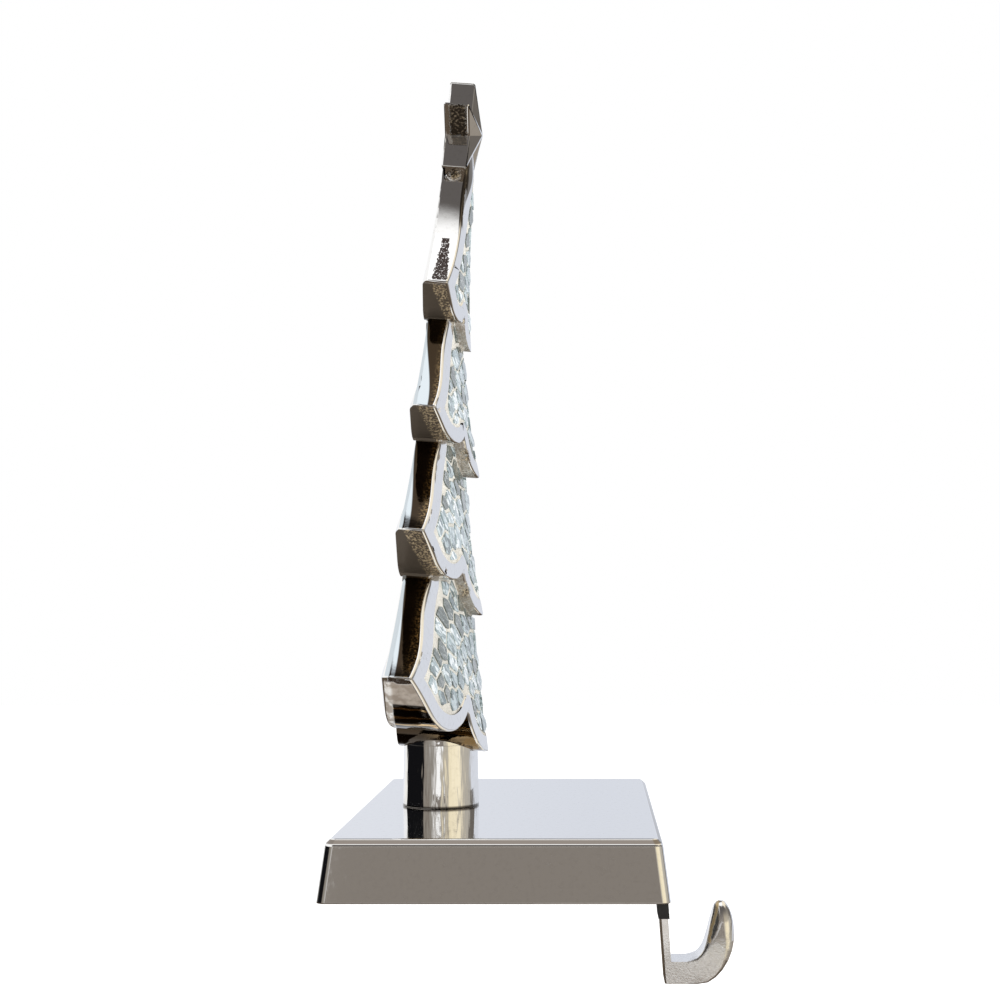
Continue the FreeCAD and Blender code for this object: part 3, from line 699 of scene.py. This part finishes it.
def cast_pits_group():
    group, g, given, out = new_group(
        "cast_pits",
        [("Place", "NodeSocketVector", None), ("Mask", "NodeSocketFloat", 0.0),
         ("Scale", "NodeSocketFloat", 2100.0)],
        ["Height", "Skin", "Pit"])
    grit = noise_of(g, given["Place"], given["Scale"], 3.0, 0.6)
    patch = noise_of(g, given["Place"], g.math("MULTIPLY", given["Scale"], 0.22), 2.0)
    mask = g.times(given["Mask"], g.ramp(patch, 0.36, 0.56))
    g.feed(g.times(grit, mask), out["Height"])
    g.feed(mask, out["Skin"])
    g.feed(g.ramp(grit, 0.56, 0.44), out["Pit"])
    return group


def grain_group():
    group, g, given, out = new_group(
        "grain",
        [("Place", "NodeSocketVector", None), ("Scale", "NodeSocketFloat", 1000.0)],
        ["Height", "Mottle"])
    fine = noise_of(g, given["Place"], given["Scale"], 5.0)
    coarse = noise_of(g, given["Place"], g.math("MULTIPLY", given["Scale"], 0.12), 2.0)
    g.feed(fine, out["Height"])
    g.feed(g.ramp(g.math("ADD", fine, coarse), 0.75, 1.25), out["Mottle"])
    return group


GROUPS = {"hand_polish": hand_polish_group(), "cast_pits": cast_pits_group(),
          "grain": grain_group()}
print("node groups:", sorted(GROUPS))

# %% [markdown]
# Every finish starts the same way: a new material, its shader, and the piece's own
# coordinates, so that the pattern stays on the piece when it is moved. A bump node turns a
# height into a change of the normal. One bump can lie on top of another.

# %% Helpers for materials
def new_material(name):
    material = bpy.data.materials.new(name)
    material.use_nodes = True
    g = Graph(material.node_tree)
    shader = material.node_tree.nodes["Principled BSDF"]
    coords = g.node("ShaderNodeTexCoord").outputs["Object"]
    return material, g, shader, coords


def use_group(g, name, **values):
    """Place a shared group and set its inputs."""
    made = g.node("ShaderNodeGroup", node_tree=GROUPS[name])
    for label, value in values.items():
        g.feed(value, made.inputs[label])
    return made.outputs


def bump(g, height, strength, distance, under=None):
    made = g.node("ShaderNodeBump")
    g.feed(height, made.inputs["Height"])
    g.feed(strength, made.inputs["Strength"])
    made.inputs["Distance"].default_value = distance
    if under is not None:
        g.feed(under, made.inputs["Normal"])
    return made.outputs[0]


print("material helpers ready")

# %% [markdown]
# The casting isn't all bright. Where no buffing wheel reaches, the plating keeps patina and cast
# skin, and much of the brown, taupe and golden colour is painted shade and painted reflection,
# laid on where the photograph shows it. Each patina and painted-shade mark below is a function
# that paints one kind of mark. It gets the colour so far and the share of bare metal so far, and
# gives both back. All sizes are in metres along the tree's own directions. A noise of scale
# 1500 has grains about two thirds of a millimetre wide.

# %% Helpers for patina and painted shade
NICKEL = (0.93, 0.925, 0.915, 1.0)
NICKEL_SHADE = (0.86, 0.85, 0.835, 1.0)
SHADE_BROWN = (0.042, 0.028, 0.016, 1.0)
BAND_GOLD = (0.42, 0.29, 0.14, 1.0)
SOFT = 0.0003
SIDE_SOFT = 0.001


def along(g, coords, direction):
    """Distance of the shaded point from the tree's foot along one of its directions."""
    made = g.node("ShaderNodeVectorMath", operation="DOT_PRODUCT")
    g.feed(coords, made.inputs[0])
    made.inputs[1].default_value = direction
    return g.math("SUBTRACT", made.outputs["Value"], TREE_FOOT.dot(direction))


def tree_place(g, coords):
    """Depth from the tree's back, height along it and distance from its middle."""
    aside = g.math("ABSOLUTE", g.split(coords)[1])
    return along(g, coords, TREE_FORWARD), along(g, coords, TREE_UP), aside


def wander(g, noise, amount):
    """Turn noise into a shift to either side, for a ragged edge."""
    return g.math("MULTIPLY", g.math("SUBTRACT", noise, 0.5), amount)


def paint(g, mask, colour, metal, skin, left):
    """Lay a skin over the nickel, patina and painted shade alike, with only the share left of the
    bare metal.
    """
    return g.mix(mask, colour, skin), g.ramp(mask, 0.0, 1.0, metal, left)


print("patina helpers ready")

# %% [markdown]
# Each lower tier narrows towards its top, and the concave flank there lies in the recess under
# the tip above. Its back edge stays a pale bluish strip, the rest gets a dark brown painted
# shade, with golden grains towards the front.

# %% Painted shade: brown bands on the flanks
# for tiers 2 to 4: foot and top of the band, and where it begins in depth at foot and top
FLANKS = [(0.1194, 0.1475, 0.0040, 0.0), (0.0836, 0.1100, 0.0025, 0.0),
          (0.0430, 0.0705, 0.0030, 0.0010)]
FLANK_END = 0.0084
BACK_STRIP = (0.63, 0.69, 0.73, 1.0)
BAND_EDGE = 0.0002
BAND_GOLD_DEPTHS = (0.0036, 0.0082)


def flank_bands(g, coords, colour, metal, wall):
    depth, height, _ = tree_place(g, coords)
    grains = g.ramp(noise_of(g, coords, 1500.0), 0.46, 0.60)
    for low, high, back_low, back_high in FLANKS:
        back = g.ramp(height, low, high, back_low, back_high)
        past_back = g.ramp(g.math("SUBTRACT", depth, back), -BAND_EDGE, BAND_EDGE)
        flank = g.times(wall, g.band(height, low, high, SOFT),
                        g.ramp(depth, FLANK_END + SOFT, FLANK_END))
        colour = g.mix(flank, colour, BACK_STRIP)
        # Painted shade: dark brown behind the flank's back edge, in the recess under the tip above.
        brown_shade = g.times(flank, past_back)
        colour = g.mix(brown_shade, colour, SHADE_BROWN)
        gold = g.times(brown_shade, g.ramp(depth, *BAND_GOLD_DEPTHS), grains)
        colour = g.mix(gold, colour, BAND_GOLD)
    return colour, metal


print("flank bands:", len(FLANKS))

# %% [markdown]
# Under each tip the casting turns back in a short slope, the lip. It gets a dark taupe painted
# shade at the back, granular and golden towards the front. Between the scallops of the foot,
# the lobes, the walls are beige.

# %% Painted shade under the tips, and beige lobes
# for tiers 1 to 3: foot and top, and how far from the middle the lip begins or the lobe ends
LIPS = [(0.1475, 0.1560, 0.0140), (0.1100, 0.1188, 0.0240), (0.0705, 0.0828, 0.0330)]
LOBES = [(0.1406, 0.1500, 0.0140), (0.1019, 0.1120, 0.0240), (0.0598, 0.0720, 0.0330)]
LIP_SHADE_TAUPE = (0.105, 0.085, 0.065, 1.0)
LIP_GOLD = (0.56, 0.44, 0.28, 1.0)
LIP_SLOPE = 0.5
LIP_METAL = 0.55
LOBE_BEIGE = (0.50, 0.455, 0.39, 1.0)
LOBE_DEPTHS = (0.0010, 0.0016)
LOBE_METAL = 0.60


def lip_shade_and_lobes(g, coords, colour, metal, wall):
    depth, height, aside = tree_place(g, coords)
    grit = noise_of(g, coords, 1700.0, rough=0.65)
    grains = g.ramp(grit, 0.46, 0.62)
    for low, high, begin in LIPS:
        lip = g.times(wall, g.band(height, low, high, SOFT),
                      g.ramp(aside, begin, begin + SIDE_SOFT))
        forward = g.math("ADD", depth, g.math("MULTIPLY", height, LIP_SLOPE))
        forward = g.math("SUBTRACT", forward, LIP_SLOPE * high + 0.001)
        granular = g.ramp(g.math("ADD", forward, g.math("MULTIPLY", grit, 0.002)), 0.0008, 0.0018)
        # Painted shade: dark taupe under the tip, with golden grains towards the front.
        skin = g.mix(g.times(granular, grains), LIP_SHADE_TAUPE, LIP_GOLD)
        colour, metal = paint(g, lip, colour, metal, skin, LIP_METAL)
    for low, high, end in LOBES:
        lobe = g.times(wall, g.band(height, low, high, SOFT),
                       g.ramp(aside, end, end - SIDE_SOFT), g.ramp(depth, *LOBE_DEPTHS))
        skin = g.mix(g.times(grains, 0.7), LOBE_BEIGE, NICKEL_SHADE)
        colour, metal = paint(g, lobe, colour, metal, skin, LOBE_METAL)
    return colour, metal


print("lips:", len(LIPS), "- lobes:", len(LOBES))

# %% [markdown]
# The lowest tip is the widest one, and its wall is seen from the side in full. It shows a matt
# taupe patch with a cloudy edge, and a paler strip along its back.

# %% The lowest tip: a taupe patch and a pale strip
TIP_BEGIN = (0.040, 0.042)
TIP_DEPTHS = (-0.0020, -0.0015)
TIP_PATCH = (0.0348, 0.0408)
TIP_TAUPE = (0.33, 0.275, 0.225, 1.0)
TIP_BEIGE = (0.50, 0.44, 0.38, 1.0)
TIP_METAL = 0.30
STRIP_DEPTHS = (0.0026, 0.0014)
STRIP_HEIGHTS = (0.0420, 0.0400)
STRIP_TAUPE = (0.42, 0.37, 0.32, 1.0)
STRIP_PALE = (0.86, 0.84, 0.81, 1.0)
STRIP_METAL = 0.20


def lowest_tip(g, coords, colour, metal, wall):
    depth, height, aside = tree_place(g, coords)
    tip = g.times(wall, g.ramp(aside, *TIP_BEGIN), g.ramp(depth, *TIP_DEPTHS))
    mottle = noise_of(g, coords, 420.0)
    cloudy = g.math("ADD", height, wander(g, mottle, 0.0030))
    patch = g.times(tip, g.band(cloudy, *TIP_PATCH, 0.0007))
    skin = g.mix(g.ramp(mottle, 0.35, 0.65), TIP_TAUPE, TIP_BEIGE)
    colour, metal = paint(g, patch, colour, metal, skin, TIP_METAL)
    strip = g.times(tip, g.ramp(depth, *STRIP_DEPTHS), g.ramp(height, *STRIP_HEIGHTS))
    skin = g.mix(g.ramp(mottle, 0.40, 0.60), STRIP_TAUPE, STRIP_PALE)
    return paint(g, strip, colour, metal, skin, STRIP_METAL)


print("lowest tip: patch from", TIP_PATCH[0], "to", TIP_PATCH[1], "m up the tree")

# %% [markdown]
# The underside of the lowest tier is turned away from all light. It is almost black, crossed
# by thin golden lines. A sine of the height draws them, and slow noise makes them wander.
# Closer to the trunk it gets a brown painted shade, golden towards the front.

# %% Painted shade: under the lowest tier
UNDER_BEGIN = (0.022, 0.024)
UNDER_DEPTHS = (0.0018, 0.0022)
UNDER_TOP = (0.0350, 0.0345)
LINE_BLACK = (0.016, 0.011, 0.007, 1.0)
LINE_GOLD = (0.80, 0.56, 0.28, 1.0)
LINES_PER_METRE = 2600.0
ABOVE_TRUNK = (0.0192, 0.0300)


def under_lowest_tier(g, coords, colour, metal, wall):
    depth, height, aside = tree_place(g, coords)
    drift = g.math("MULTIPLY", noise_of(g, coords, 160.0, 1.0), 6.0)
    wave = g.math("SINE", g.math("ADD", g.math("MULTIPLY", height, LINES_PER_METRE), drift))
    lines = g.ramp(wave, 0.55, 0.95)
    # Painted shade: the underside is almost black, crossed by golden lines.
    black = g.times(wall, g.ramp(aside, *UNDER_BEGIN), g.ramp(depth, *UNDER_DEPTHS),
                    g.ramp(height, *UNDER_TOP))
    colour = g.mix(black, colour, g.mix(lines, LINE_BLACK, LINE_GOLD))
    # Painted shade: brown where the tier overhangs the trunk, golden towards the front.
    brown_shade = g.times(wall, g.ramp(aside, *reversed(UNDER_BEGIN)),
                    g.band(height, *ABOVE_TRUNK, SOFT))
    gold = g.times(g.ramp(depth, 0.006, 0.016), 0.5)
    return g.mix(brown_shade, colour, g.mix(gold, SHADE_BROWN, BAND_GOLD)), metal


print("lines under the lowest tier, one every", round(2000 * math.pi / LINES_PER_METRE, 1), "mm")

# %% [markdown]
# Low on the top tier's flank the casting has a flaw: a ragged dark patch, full of tiny bright
# specks and wider at its foot. Beside the neck a shade lies on the frame of the top tier.

# %% Patina: the flaw and the shade on the top tier
PATCH_HEIGHTS = (0.1575, 0.1718)
PATCH_DEPTH = 0.0035
PATCH_DARK = (0.045, 0.033, 0.030, 1.0)
PATCH_EDGE = 0.0001
NECK_SHADE = (0.17, 0.145, 0.115, 1.0)
NECK_HEIGHTS = (0.1745, 0.1790)
NECK_DEPTHS = (0.0040, 0.0050)


def ragged_patch(g, coords, colour, metal, wall):
    depth, height, _ = tree_place(g, coords)
    ragged = wander(g, noise_of(g, coords, 1100.0), 0.0018)
    reach = g.math("ADD", g.ramp(height, 0.172, 0.158, 0.0011, 0.0021), ragged)
    aside = g.math("ABSOLUTE", g.math("SUBTRACT", depth, PATCH_DEPTH))
    patch = g.times(g.ramp(g.math("SUBTRACT", aside, reach), PATCH_EDGE, -PATCH_EDGE),
                    g.band(height, *PATCH_HEIGHTS, SOFT))
    specks = g.ramp(noise_of(g, coords, 2300.0, 1.0), 0.60, 0.68)
    return g.mix(patch, colour, g.mix(specks, PATCH_DARK, NICKEL_SHADE)), metal


def neck_shade(g, coords, colour, metal, wall):
    depth, height, _ = tree_place(g, coords)
    inner = g.ramp(height, 0.177, 0.195, -0.0102, -0.0012)
    near = g.ramp(g.math("SUBTRACT", g.split(coords)[1], inner), SOFT, -SOFT)
    shade = g.times(g.math("SUBTRACT", 1.0, wall), near, g.ramp(height, *NECK_HEIGHTS),
                    g.ramp(depth, *NECK_DEPTHS))
    return g.mix(shade, colour, NECK_SHADE), metal


print("top tier: patch from", PATCH_HEIGHTS[0], "to", PATCH_HEIGHTS[1], "m up the tree")

# %% [markdown]
# The last marks are small ones: a dark granular pocket in the side of the star's near arm, a
# golden streak of painted reflection down the inner side of the horn, a ring of painted shade
# where the trunk meets the base, and painted shade on the bevel round the base's top, which
# is a shade darker than the faces beside it.

# %% Patina and painted light: star, horn, trunk's foot and base
POCKET_DEPTHS = (0.0018, 0.0064)
POCKET_HEIGHTS = (0.2052, 0.2118)
POCKET_SIDE = (-0.0040, -0.0050)
POCKET_DARK = (0.030, 0.022, 0.015, 1.0)
POCKET_GRIT = (0.26, 0.21, 0.15, 1.0)
REFLECTED_GOLD_STREAK = (0.56, 0.43, 0.24, 1.0)
STREAK_HEIGHTS = (-0.0240, -0.0110)
POCKET_AND_STREAK_METAL = 0.60
RING_HEIGHTS = (0.0182, 0.0176)
RING_COVER = 0.85
BEVEL_HEIGHTS = (0.0160, 0.0168)
BEVEL_SHADE = (0.24, 0.21, 0.185, 1.0)


def star_pocket(g, coords, colour, metal, wall):
    depth, height, _ = tree_place(g, coords)
    grit = noise_of(g, coords, 1300.0, rough=0.6)
    ragged = wander(g, grit, 0.0025)
    pocket = g.times(g.band(g.math("ADD", depth, ragged), *POCKET_DEPTHS, 0.0004),
                     g.band(g.math("ADD", height, ragged), *POCKET_HEIGHTS, 0.0005),
                     g.ramp(g.split(coords)[1], *POCKET_SIDE))
    inside = g.mix(g.ramp(grit, 0.50, 0.66), POCKET_DARK, POCKET_GRIT)
    return paint(g, pocket, colour, metal, inside, POCKET_AND_STREAK_METAL)


def horn_streak(g, coords, colour, metal, wall):
    x, _, z = g.split(coords)
    ragged = wander(g, noise_of(g, coords, 500.0), 0.0009)
    centre = g.ramp(z, -0.0290, -0.0080, 0.0612, 0.0652)
    aside = g.math("ABSOLUTE", g.math("SUBTRACT", g.math("ADD", x, ragged), centre))
    streak = g.times(g.ramp(aside, 0.0008, 0.0002), g.band(z, *STREAK_HEIGHTS, 0.0010))
    # Painted reflection: a golden streak down the inner side of the horn.
    return paint(g, streak, colour, metal, REFLECTED_GOLD_STREAK, POCKET_AND_STREAK_METAL)


def foot_ring(g, coords, colour, metal, wall):
    # Painted shade: a dark brown ring where the trunk meets the base.
    ring = g.times(g.ramp(g.split(coords)[2], *RING_HEIGHTS), RING_COVER)
    return g.mix(ring, colour, SHADE_BROWN), metal


def base_bevel(g, coords, colour, metal, wall):
    # Painted shade: the bevel round the base's top is made darker than the faces beside it.
    bevel = g.band(g.split(coords)[2], *BEVEL_HEIGHTS, 0.0002)
    return g.mix(bevel, colour, BEVEL_SHADE), metal


# The tree's patina and painted shade, one function each.
TREE_PATINA_AND_SHADE = (flank_bands, lip_shade_and_lobes, lowest_tip, under_lowest_tier, ragged_patch, neck_shade,
                foot_ring)
print("patinas on the tree:", len(TREE_PATINA_AND_SHADE))

# %% [markdown]
# The casting's flaws sit on the side that the photograph shows: granular skin in the corners
# under each tier's tip and on the walls of the middle lobes, where no wheel reaches. Each
# spot is a small ball in space, and its skin fades out towards the ball's surface. On the
# trunk the polish leaves long soft streaks, and the hook's arm and horn keep a fine skin.

# %% Spots of cast skin, runs on the trunk and skin on the hook
ROUGH_SPOTS = [
    (on_tree(12.0, -9.0, 144.5), 0.0030), (on_tree(14.5, -11.0, 107.5), 0.0036),
    (on_tree(17.0, -15.0, 66.0), 0.0046), (on_tree(3.5, -5.5, 193.5), 0.0030),
    (on_tree(19.9, -20.0, 37.3), 0.0008),
]
SPOT_CORE = 0.25
PIT_BROWN = (0.13, 0.10, 0.07, 1.0)
PIT_GOLD = (0.90, 0.76, 0.55, 1.0)
RUNS_TOP = (0.038, 0.036)
RUN_STRETCH = (1.0, 1.0, 0.14)
HOOK_SKIN_TOP = (-0.020, -0.030)


def near_spots(g, coords, spots):
    """1 inside any of the spots, each a (centre, radius), fading to 0 at its rim."""
    total = None
    for centre, radius in spots:
        made = g.node("ShaderNodeVectorMath", operation="DISTANCE")
        g.feed(coords, made.inputs[0])
        made.inputs[1].default_value = centre
        spot = g.ramp(made.outputs["Value"], radius, SPOT_CORE * radius)
        total = spot if total is None else g.math("MAXIMUM", total, spot)
    return total


def trunk_runs(g, coords, under):
    """A normal with soft upright streaks on the trunk."""
    squeezed = g.node("ShaderNodeVectorMath", operation="MULTIPLY")
    g.feed(coords, squeezed.inputs[0])
    squeezed.inputs[1].default_value = RUN_STRETCH
    streaks = noise_of(g, squeezed.outputs[0], 420.0, 2.0)
    low = g.ramp(g.split(coords)[2], *RUNS_TOP)
    return bump(g, g.times(streaks, low), 0.35, 0.0010, under)


def hook_skin(g, coords, strength, under):
    """A normal with fine casting skin on the hook's arm and horn."""
    low = g.ramp(g.split(coords)[2], *HOOK_SKIN_TOP)
    grit = g.times(noise_of(g, coords, 2300.0, rough=0.6), low)
    return bump(g, grit, strength, 0.0005, under)


print("rough spots:", len(ROUGH_SPOTS))

# %% [markdown]
# Polished nickel is one metal shader. The waves bend reflections slowly, the wipe marks blur
# them a little, and pits break them up. Where patina and painted shade leave less bare metal,
# the face is also rougher. The base and the tree are wavier than the hook, which is a small
# casting.

# %% Nickel
def nickel(name, wave=1.0, spots=(), patina_and_shade=(), runs=False, rough=0.045, skin=0.0):
    """wave is how far the face wanders. spots are patches of granular cast skin."""
    material, g, shader, coords = new_material(name)
    polish = use_group(g, "hand_polish", Place=coords)
    colour = g.mix(polish["Dull"], NICKEL, NICKEL_SHADE)
    normal = bump(g, polish["Wave Height"], 0.22 * wave, 0.0004)
    normal = bump(g, polish["Wipe Height"], 0.06, 0.0001, normal)
    if skin:
        normal = hook_skin(g, coords, skin, normal)
    dull, metal = polish["Dull"], 1.0
    if patina_and_shade:
        wall = g.node("ShaderNodeAttribute", attribute_name="wall").outputs["Fac"]
        for patina_and_shade_mark in patina_and_shade:
            colour, metal = patina_and_shade_mark(g, coords, colour, metal, wall)
    if runs:
        normal = trunk_runs(g, coords, normal)
    if spots:
        pits = use_group(g, "cast_pits", Place=coords, Mask=near_spots(g, coords, spots))
        normal = bump(g, pits["Height"], 1.0, 0.0007, normal)
        colour = g.mix(pits["Skin"], colour, g.mix(pits["Pit"], PIT_GOLD, PIT_BROWN))
        dull = g.math("MAXIMUM", dull, pits["Skin"])
    if metal != 1.0:
        dull = g.math("MAXIMUM", dull, g.ramp(metal, 1.0, 0.5, 0.0, 2.4))
    g.feed(colour, shader.inputs["Base Color"])
    g.feed(metal, shader.inputs["Metallic"])
    g.feed(g.ramp(dull, 0.0, 2.0, rough, 0.28), shader.inputs["Roughness"])
    g.feed(normal, shader.inputs["Normal"])
    return material


print("nickel ready")

# %% [markdown]
# Grout, felt, rubber and raw iron are matt. They all share one recipe: a colour, mottled with
# a darker one, and a fine bump. Only the numbers differ.

# %% Matt finishes
MOTTLE_SHADE = 0.78
GRAIN_HEIGHT = 0.0004


def plain(name, colour, rough, scale, strength):
    """A matt finish with fine mottling."""
    material, g, shader, coords = new_material(name)
    grain = use_group(g, "grain", Place=coords, Scale=scale)
    darker = tuple(MOTTLE_SHADE * v for v in colour[:3]) + (1.0,)
    g.feed(g.mix(grain["Mottle"], darker, colour), shader.inputs["Base Color"])
    shader.inputs["Roughness"].default_value = rough
    g.feed(bump(g, grain["Height"], strength, GRAIN_HEIGHT), shader.inputs["Normal"])
    return material


print("matt finishes ready")

# %% [markdown]
# Crackle glass is full of fine breaks that run one way through a chip. Cells of a Voronoi
# pattern, squeezed so that they are several times longer than wide, stand for the splinters:
# each splinter has a tone of its own, the palest being a painted white glint, and the breaks
# between them are painted white glints over part of the splinters and dark over the rest. The
# chips' long side runs down towards the ridge, and so do the splinters. The fourth coordinate
# of the pattern is the chip's own offset, so no two chips show the same splinters.

# %% Crackle glass
SPLINTER_TILT = math.radians(-38.0)
SPLINTER_STRETCH = 3.4
SPLINTER_SCALE = 1050.0
OFFSET_REACH = 9.0
SPLINTER_SHARE = 0.66
CHIP_SHARE = 0.42
# Splinter tones from dark slate to aqua grey; the palest stop is a painted white glint.
SPLINTER_TONES_AND_GLINTS = [(0.0, (0.055, 0.075, 0.075)), (0.25, (0.17, 0.225, 0.24)),
             (0.45, (0.33, 0.42, 0.45)), (0.68, (0.50, 0.60, 0.64)), (0.86, (0.90, 0.96, 1.0))]
BREAK_GLINT_WHITE = (0.92, 0.97, 1.0, 1.0)
DARK_GLASS = (0.085, 0.10, 0.085, 1.0)
DARK_COVER = 0.85
BREAK_WIDTH = 0.05
BREAK_COVER = 0.50
GLASS_LOOK = {"Roughness": 0.10, "Coat Weight": 0.6, "Coat Roughness": 0.04}


def splinter_cells(g, coords, offset):
    """Two Voronoi patterns with the same cells: their tones and the distance to their rims."""
    turned = g.node("ShaderNodeMapping", vector_type="TEXTURE")
    g.feed(coords, turned.inputs["Vector"])
    turned.inputs["Rotation"].default_value = (SPLINTER_TILT, 0.0, 0.0)
    turned.inputs["Scale"].default_value = (1.0, SPLINTER_STRETCH, 1.0)
    cells = g.node("ShaderNodeTexVoronoi", voronoi_dimensions="4D")
    rims = g.node("ShaderNodeTexVoronoi", voronoi_dimensions="4D", feature="DISTANCE_TO_EDGE")
    for voronoi in (cells, rims):
        g.feed(turned.outputs[0], voronoi.inputs["Vector"])
        g.feed(g.math("MULTIPLY", offset, OFFSET_REACH), voronoi.inputs["W"])
        voronoi.inputs["Scale"].default_value = SPLINTER_SCALE
    return g.split(cells.outputs["Color"])[0], rims.outputs["Distance"]


def crackle_glass(name):
    material, g, shader, coords = new_material(name)
    chip = g.node("ShaderNodeAttribute", attribute_name="chip")
    tone, offset, dark = g.split(chip.outputs["Vector"])
    splinter, rim = splinter_cells(g, coords, offset)
    mixed = g.math("ADD", g.times(splinter, SPLINTER_SHARE), g.times(tone, CHIP_SHARE))
    # Dark chips, random ones and the painted shade towards the tier's top, turn dark olive.
    colour = g.mix(g.times(dark, DARK_COVER), g.stops(mixed, SPLINTER_TONES_AND_GLINTS), DARK_GLASS)
    # Painted glints: the breaks turn white over part of the splinters and dark over the rest.
    break_tone = g.mix(g.ramp(splinter, 0.50, 0.56), DARK_GLASS, BREAK_GLINT_WHITE)
    crack = g.times(g.ramp(rim, BREAK_WIDTH, 0.0), BREAK_COVER)
    g.feed(g.mix(crack, colour, break_tone), shader.inputs["Base Color"])
    for label, value in GLASS_LOOK.items():
        shader.inputs[label].default_value = value
    g.feed(bump(g, splinter, 0.55, 0.0003), shader.inputs["Normal"])
    return material


print("crackle glass ready")

# %% [markdown]
# The record names a material slot for each sub-part, and here each slot gets its finish. The
# CAD nodes that have no copy, such as the grout, the felt and the screws, wear it directly.

# %% One finish for each slot of the record
MATERIALS = {
    "nickel_casting": nickel("polished_nickel_casting", 1.0, ROUGH_SPOTS),
    "nickel_steel": nickel("polished_nickel_hook", 0.4, patina_and_shade=(horn_streak,), rough=0.13,
                           skin=0.18),
    "grout": plain("cream_grout", (0.80, 0.785, 0.73, 1), 0.9, 1500.0, 0.5),
    "crackle_glass": crackle_glass("crackle_glass"),
    "iron": plain("raw_iron", (0.10, 0.10, 0.10, 1), 0.6, 800.0, 0.4),
    "zinc_steel": nickel("zinc_plated_steel", 0.2),
    "felt": plain("black_felt", (0.03, 0.03, 0.03, 1), 0.95, 3000.0, 0.6),
    "sleeve_rubber": plain("black_rubber", (0.02, 0.02, 0.02, 1), 0.6, 2000.0, 0.3),
}


def wear(piece, material):
    """Take off what the piece wears and put one material on."""
    piece.data.materials.clear()
    piece.data.materials.append(material)


for name, cad_object in nodes.items():
    wear(cad_object, MATERIALS[slot_of[name]])
print("finishes:", len(MATERIALS), "on", len(nodes), "nodes")

# %% [markdown]
# The tree, the star and the base are all nickel castings, but each has marks of its own, so
# each wears a nickel with its own marks: patina and painted shade on the tree, a patina pocket
# on the star and painted shade on the bevel of the base. The hook and the chips wear their
# slot's finish.

# %% Finishes of the dressed pieces
wear(tree, nickel("nickel_of_the_tree", 1.0, ROUGH_SPOTS, TREE_PATINA_AND_SHADE, True))
wear(base, nickel("nickel_of_the_base", patina_and_shade=(base_bevel,)))
wear(star, nickel("nickel_of_the_star", patina_and_shade=(star_pocket,)))
wear(hook, MATERIALS[slot_of["hook"]])
for tier_chips in chips:
    wear(tier_chips, MATERIALS["crackle_glass"])
print("dressed pieces:", 4 + len(chips))
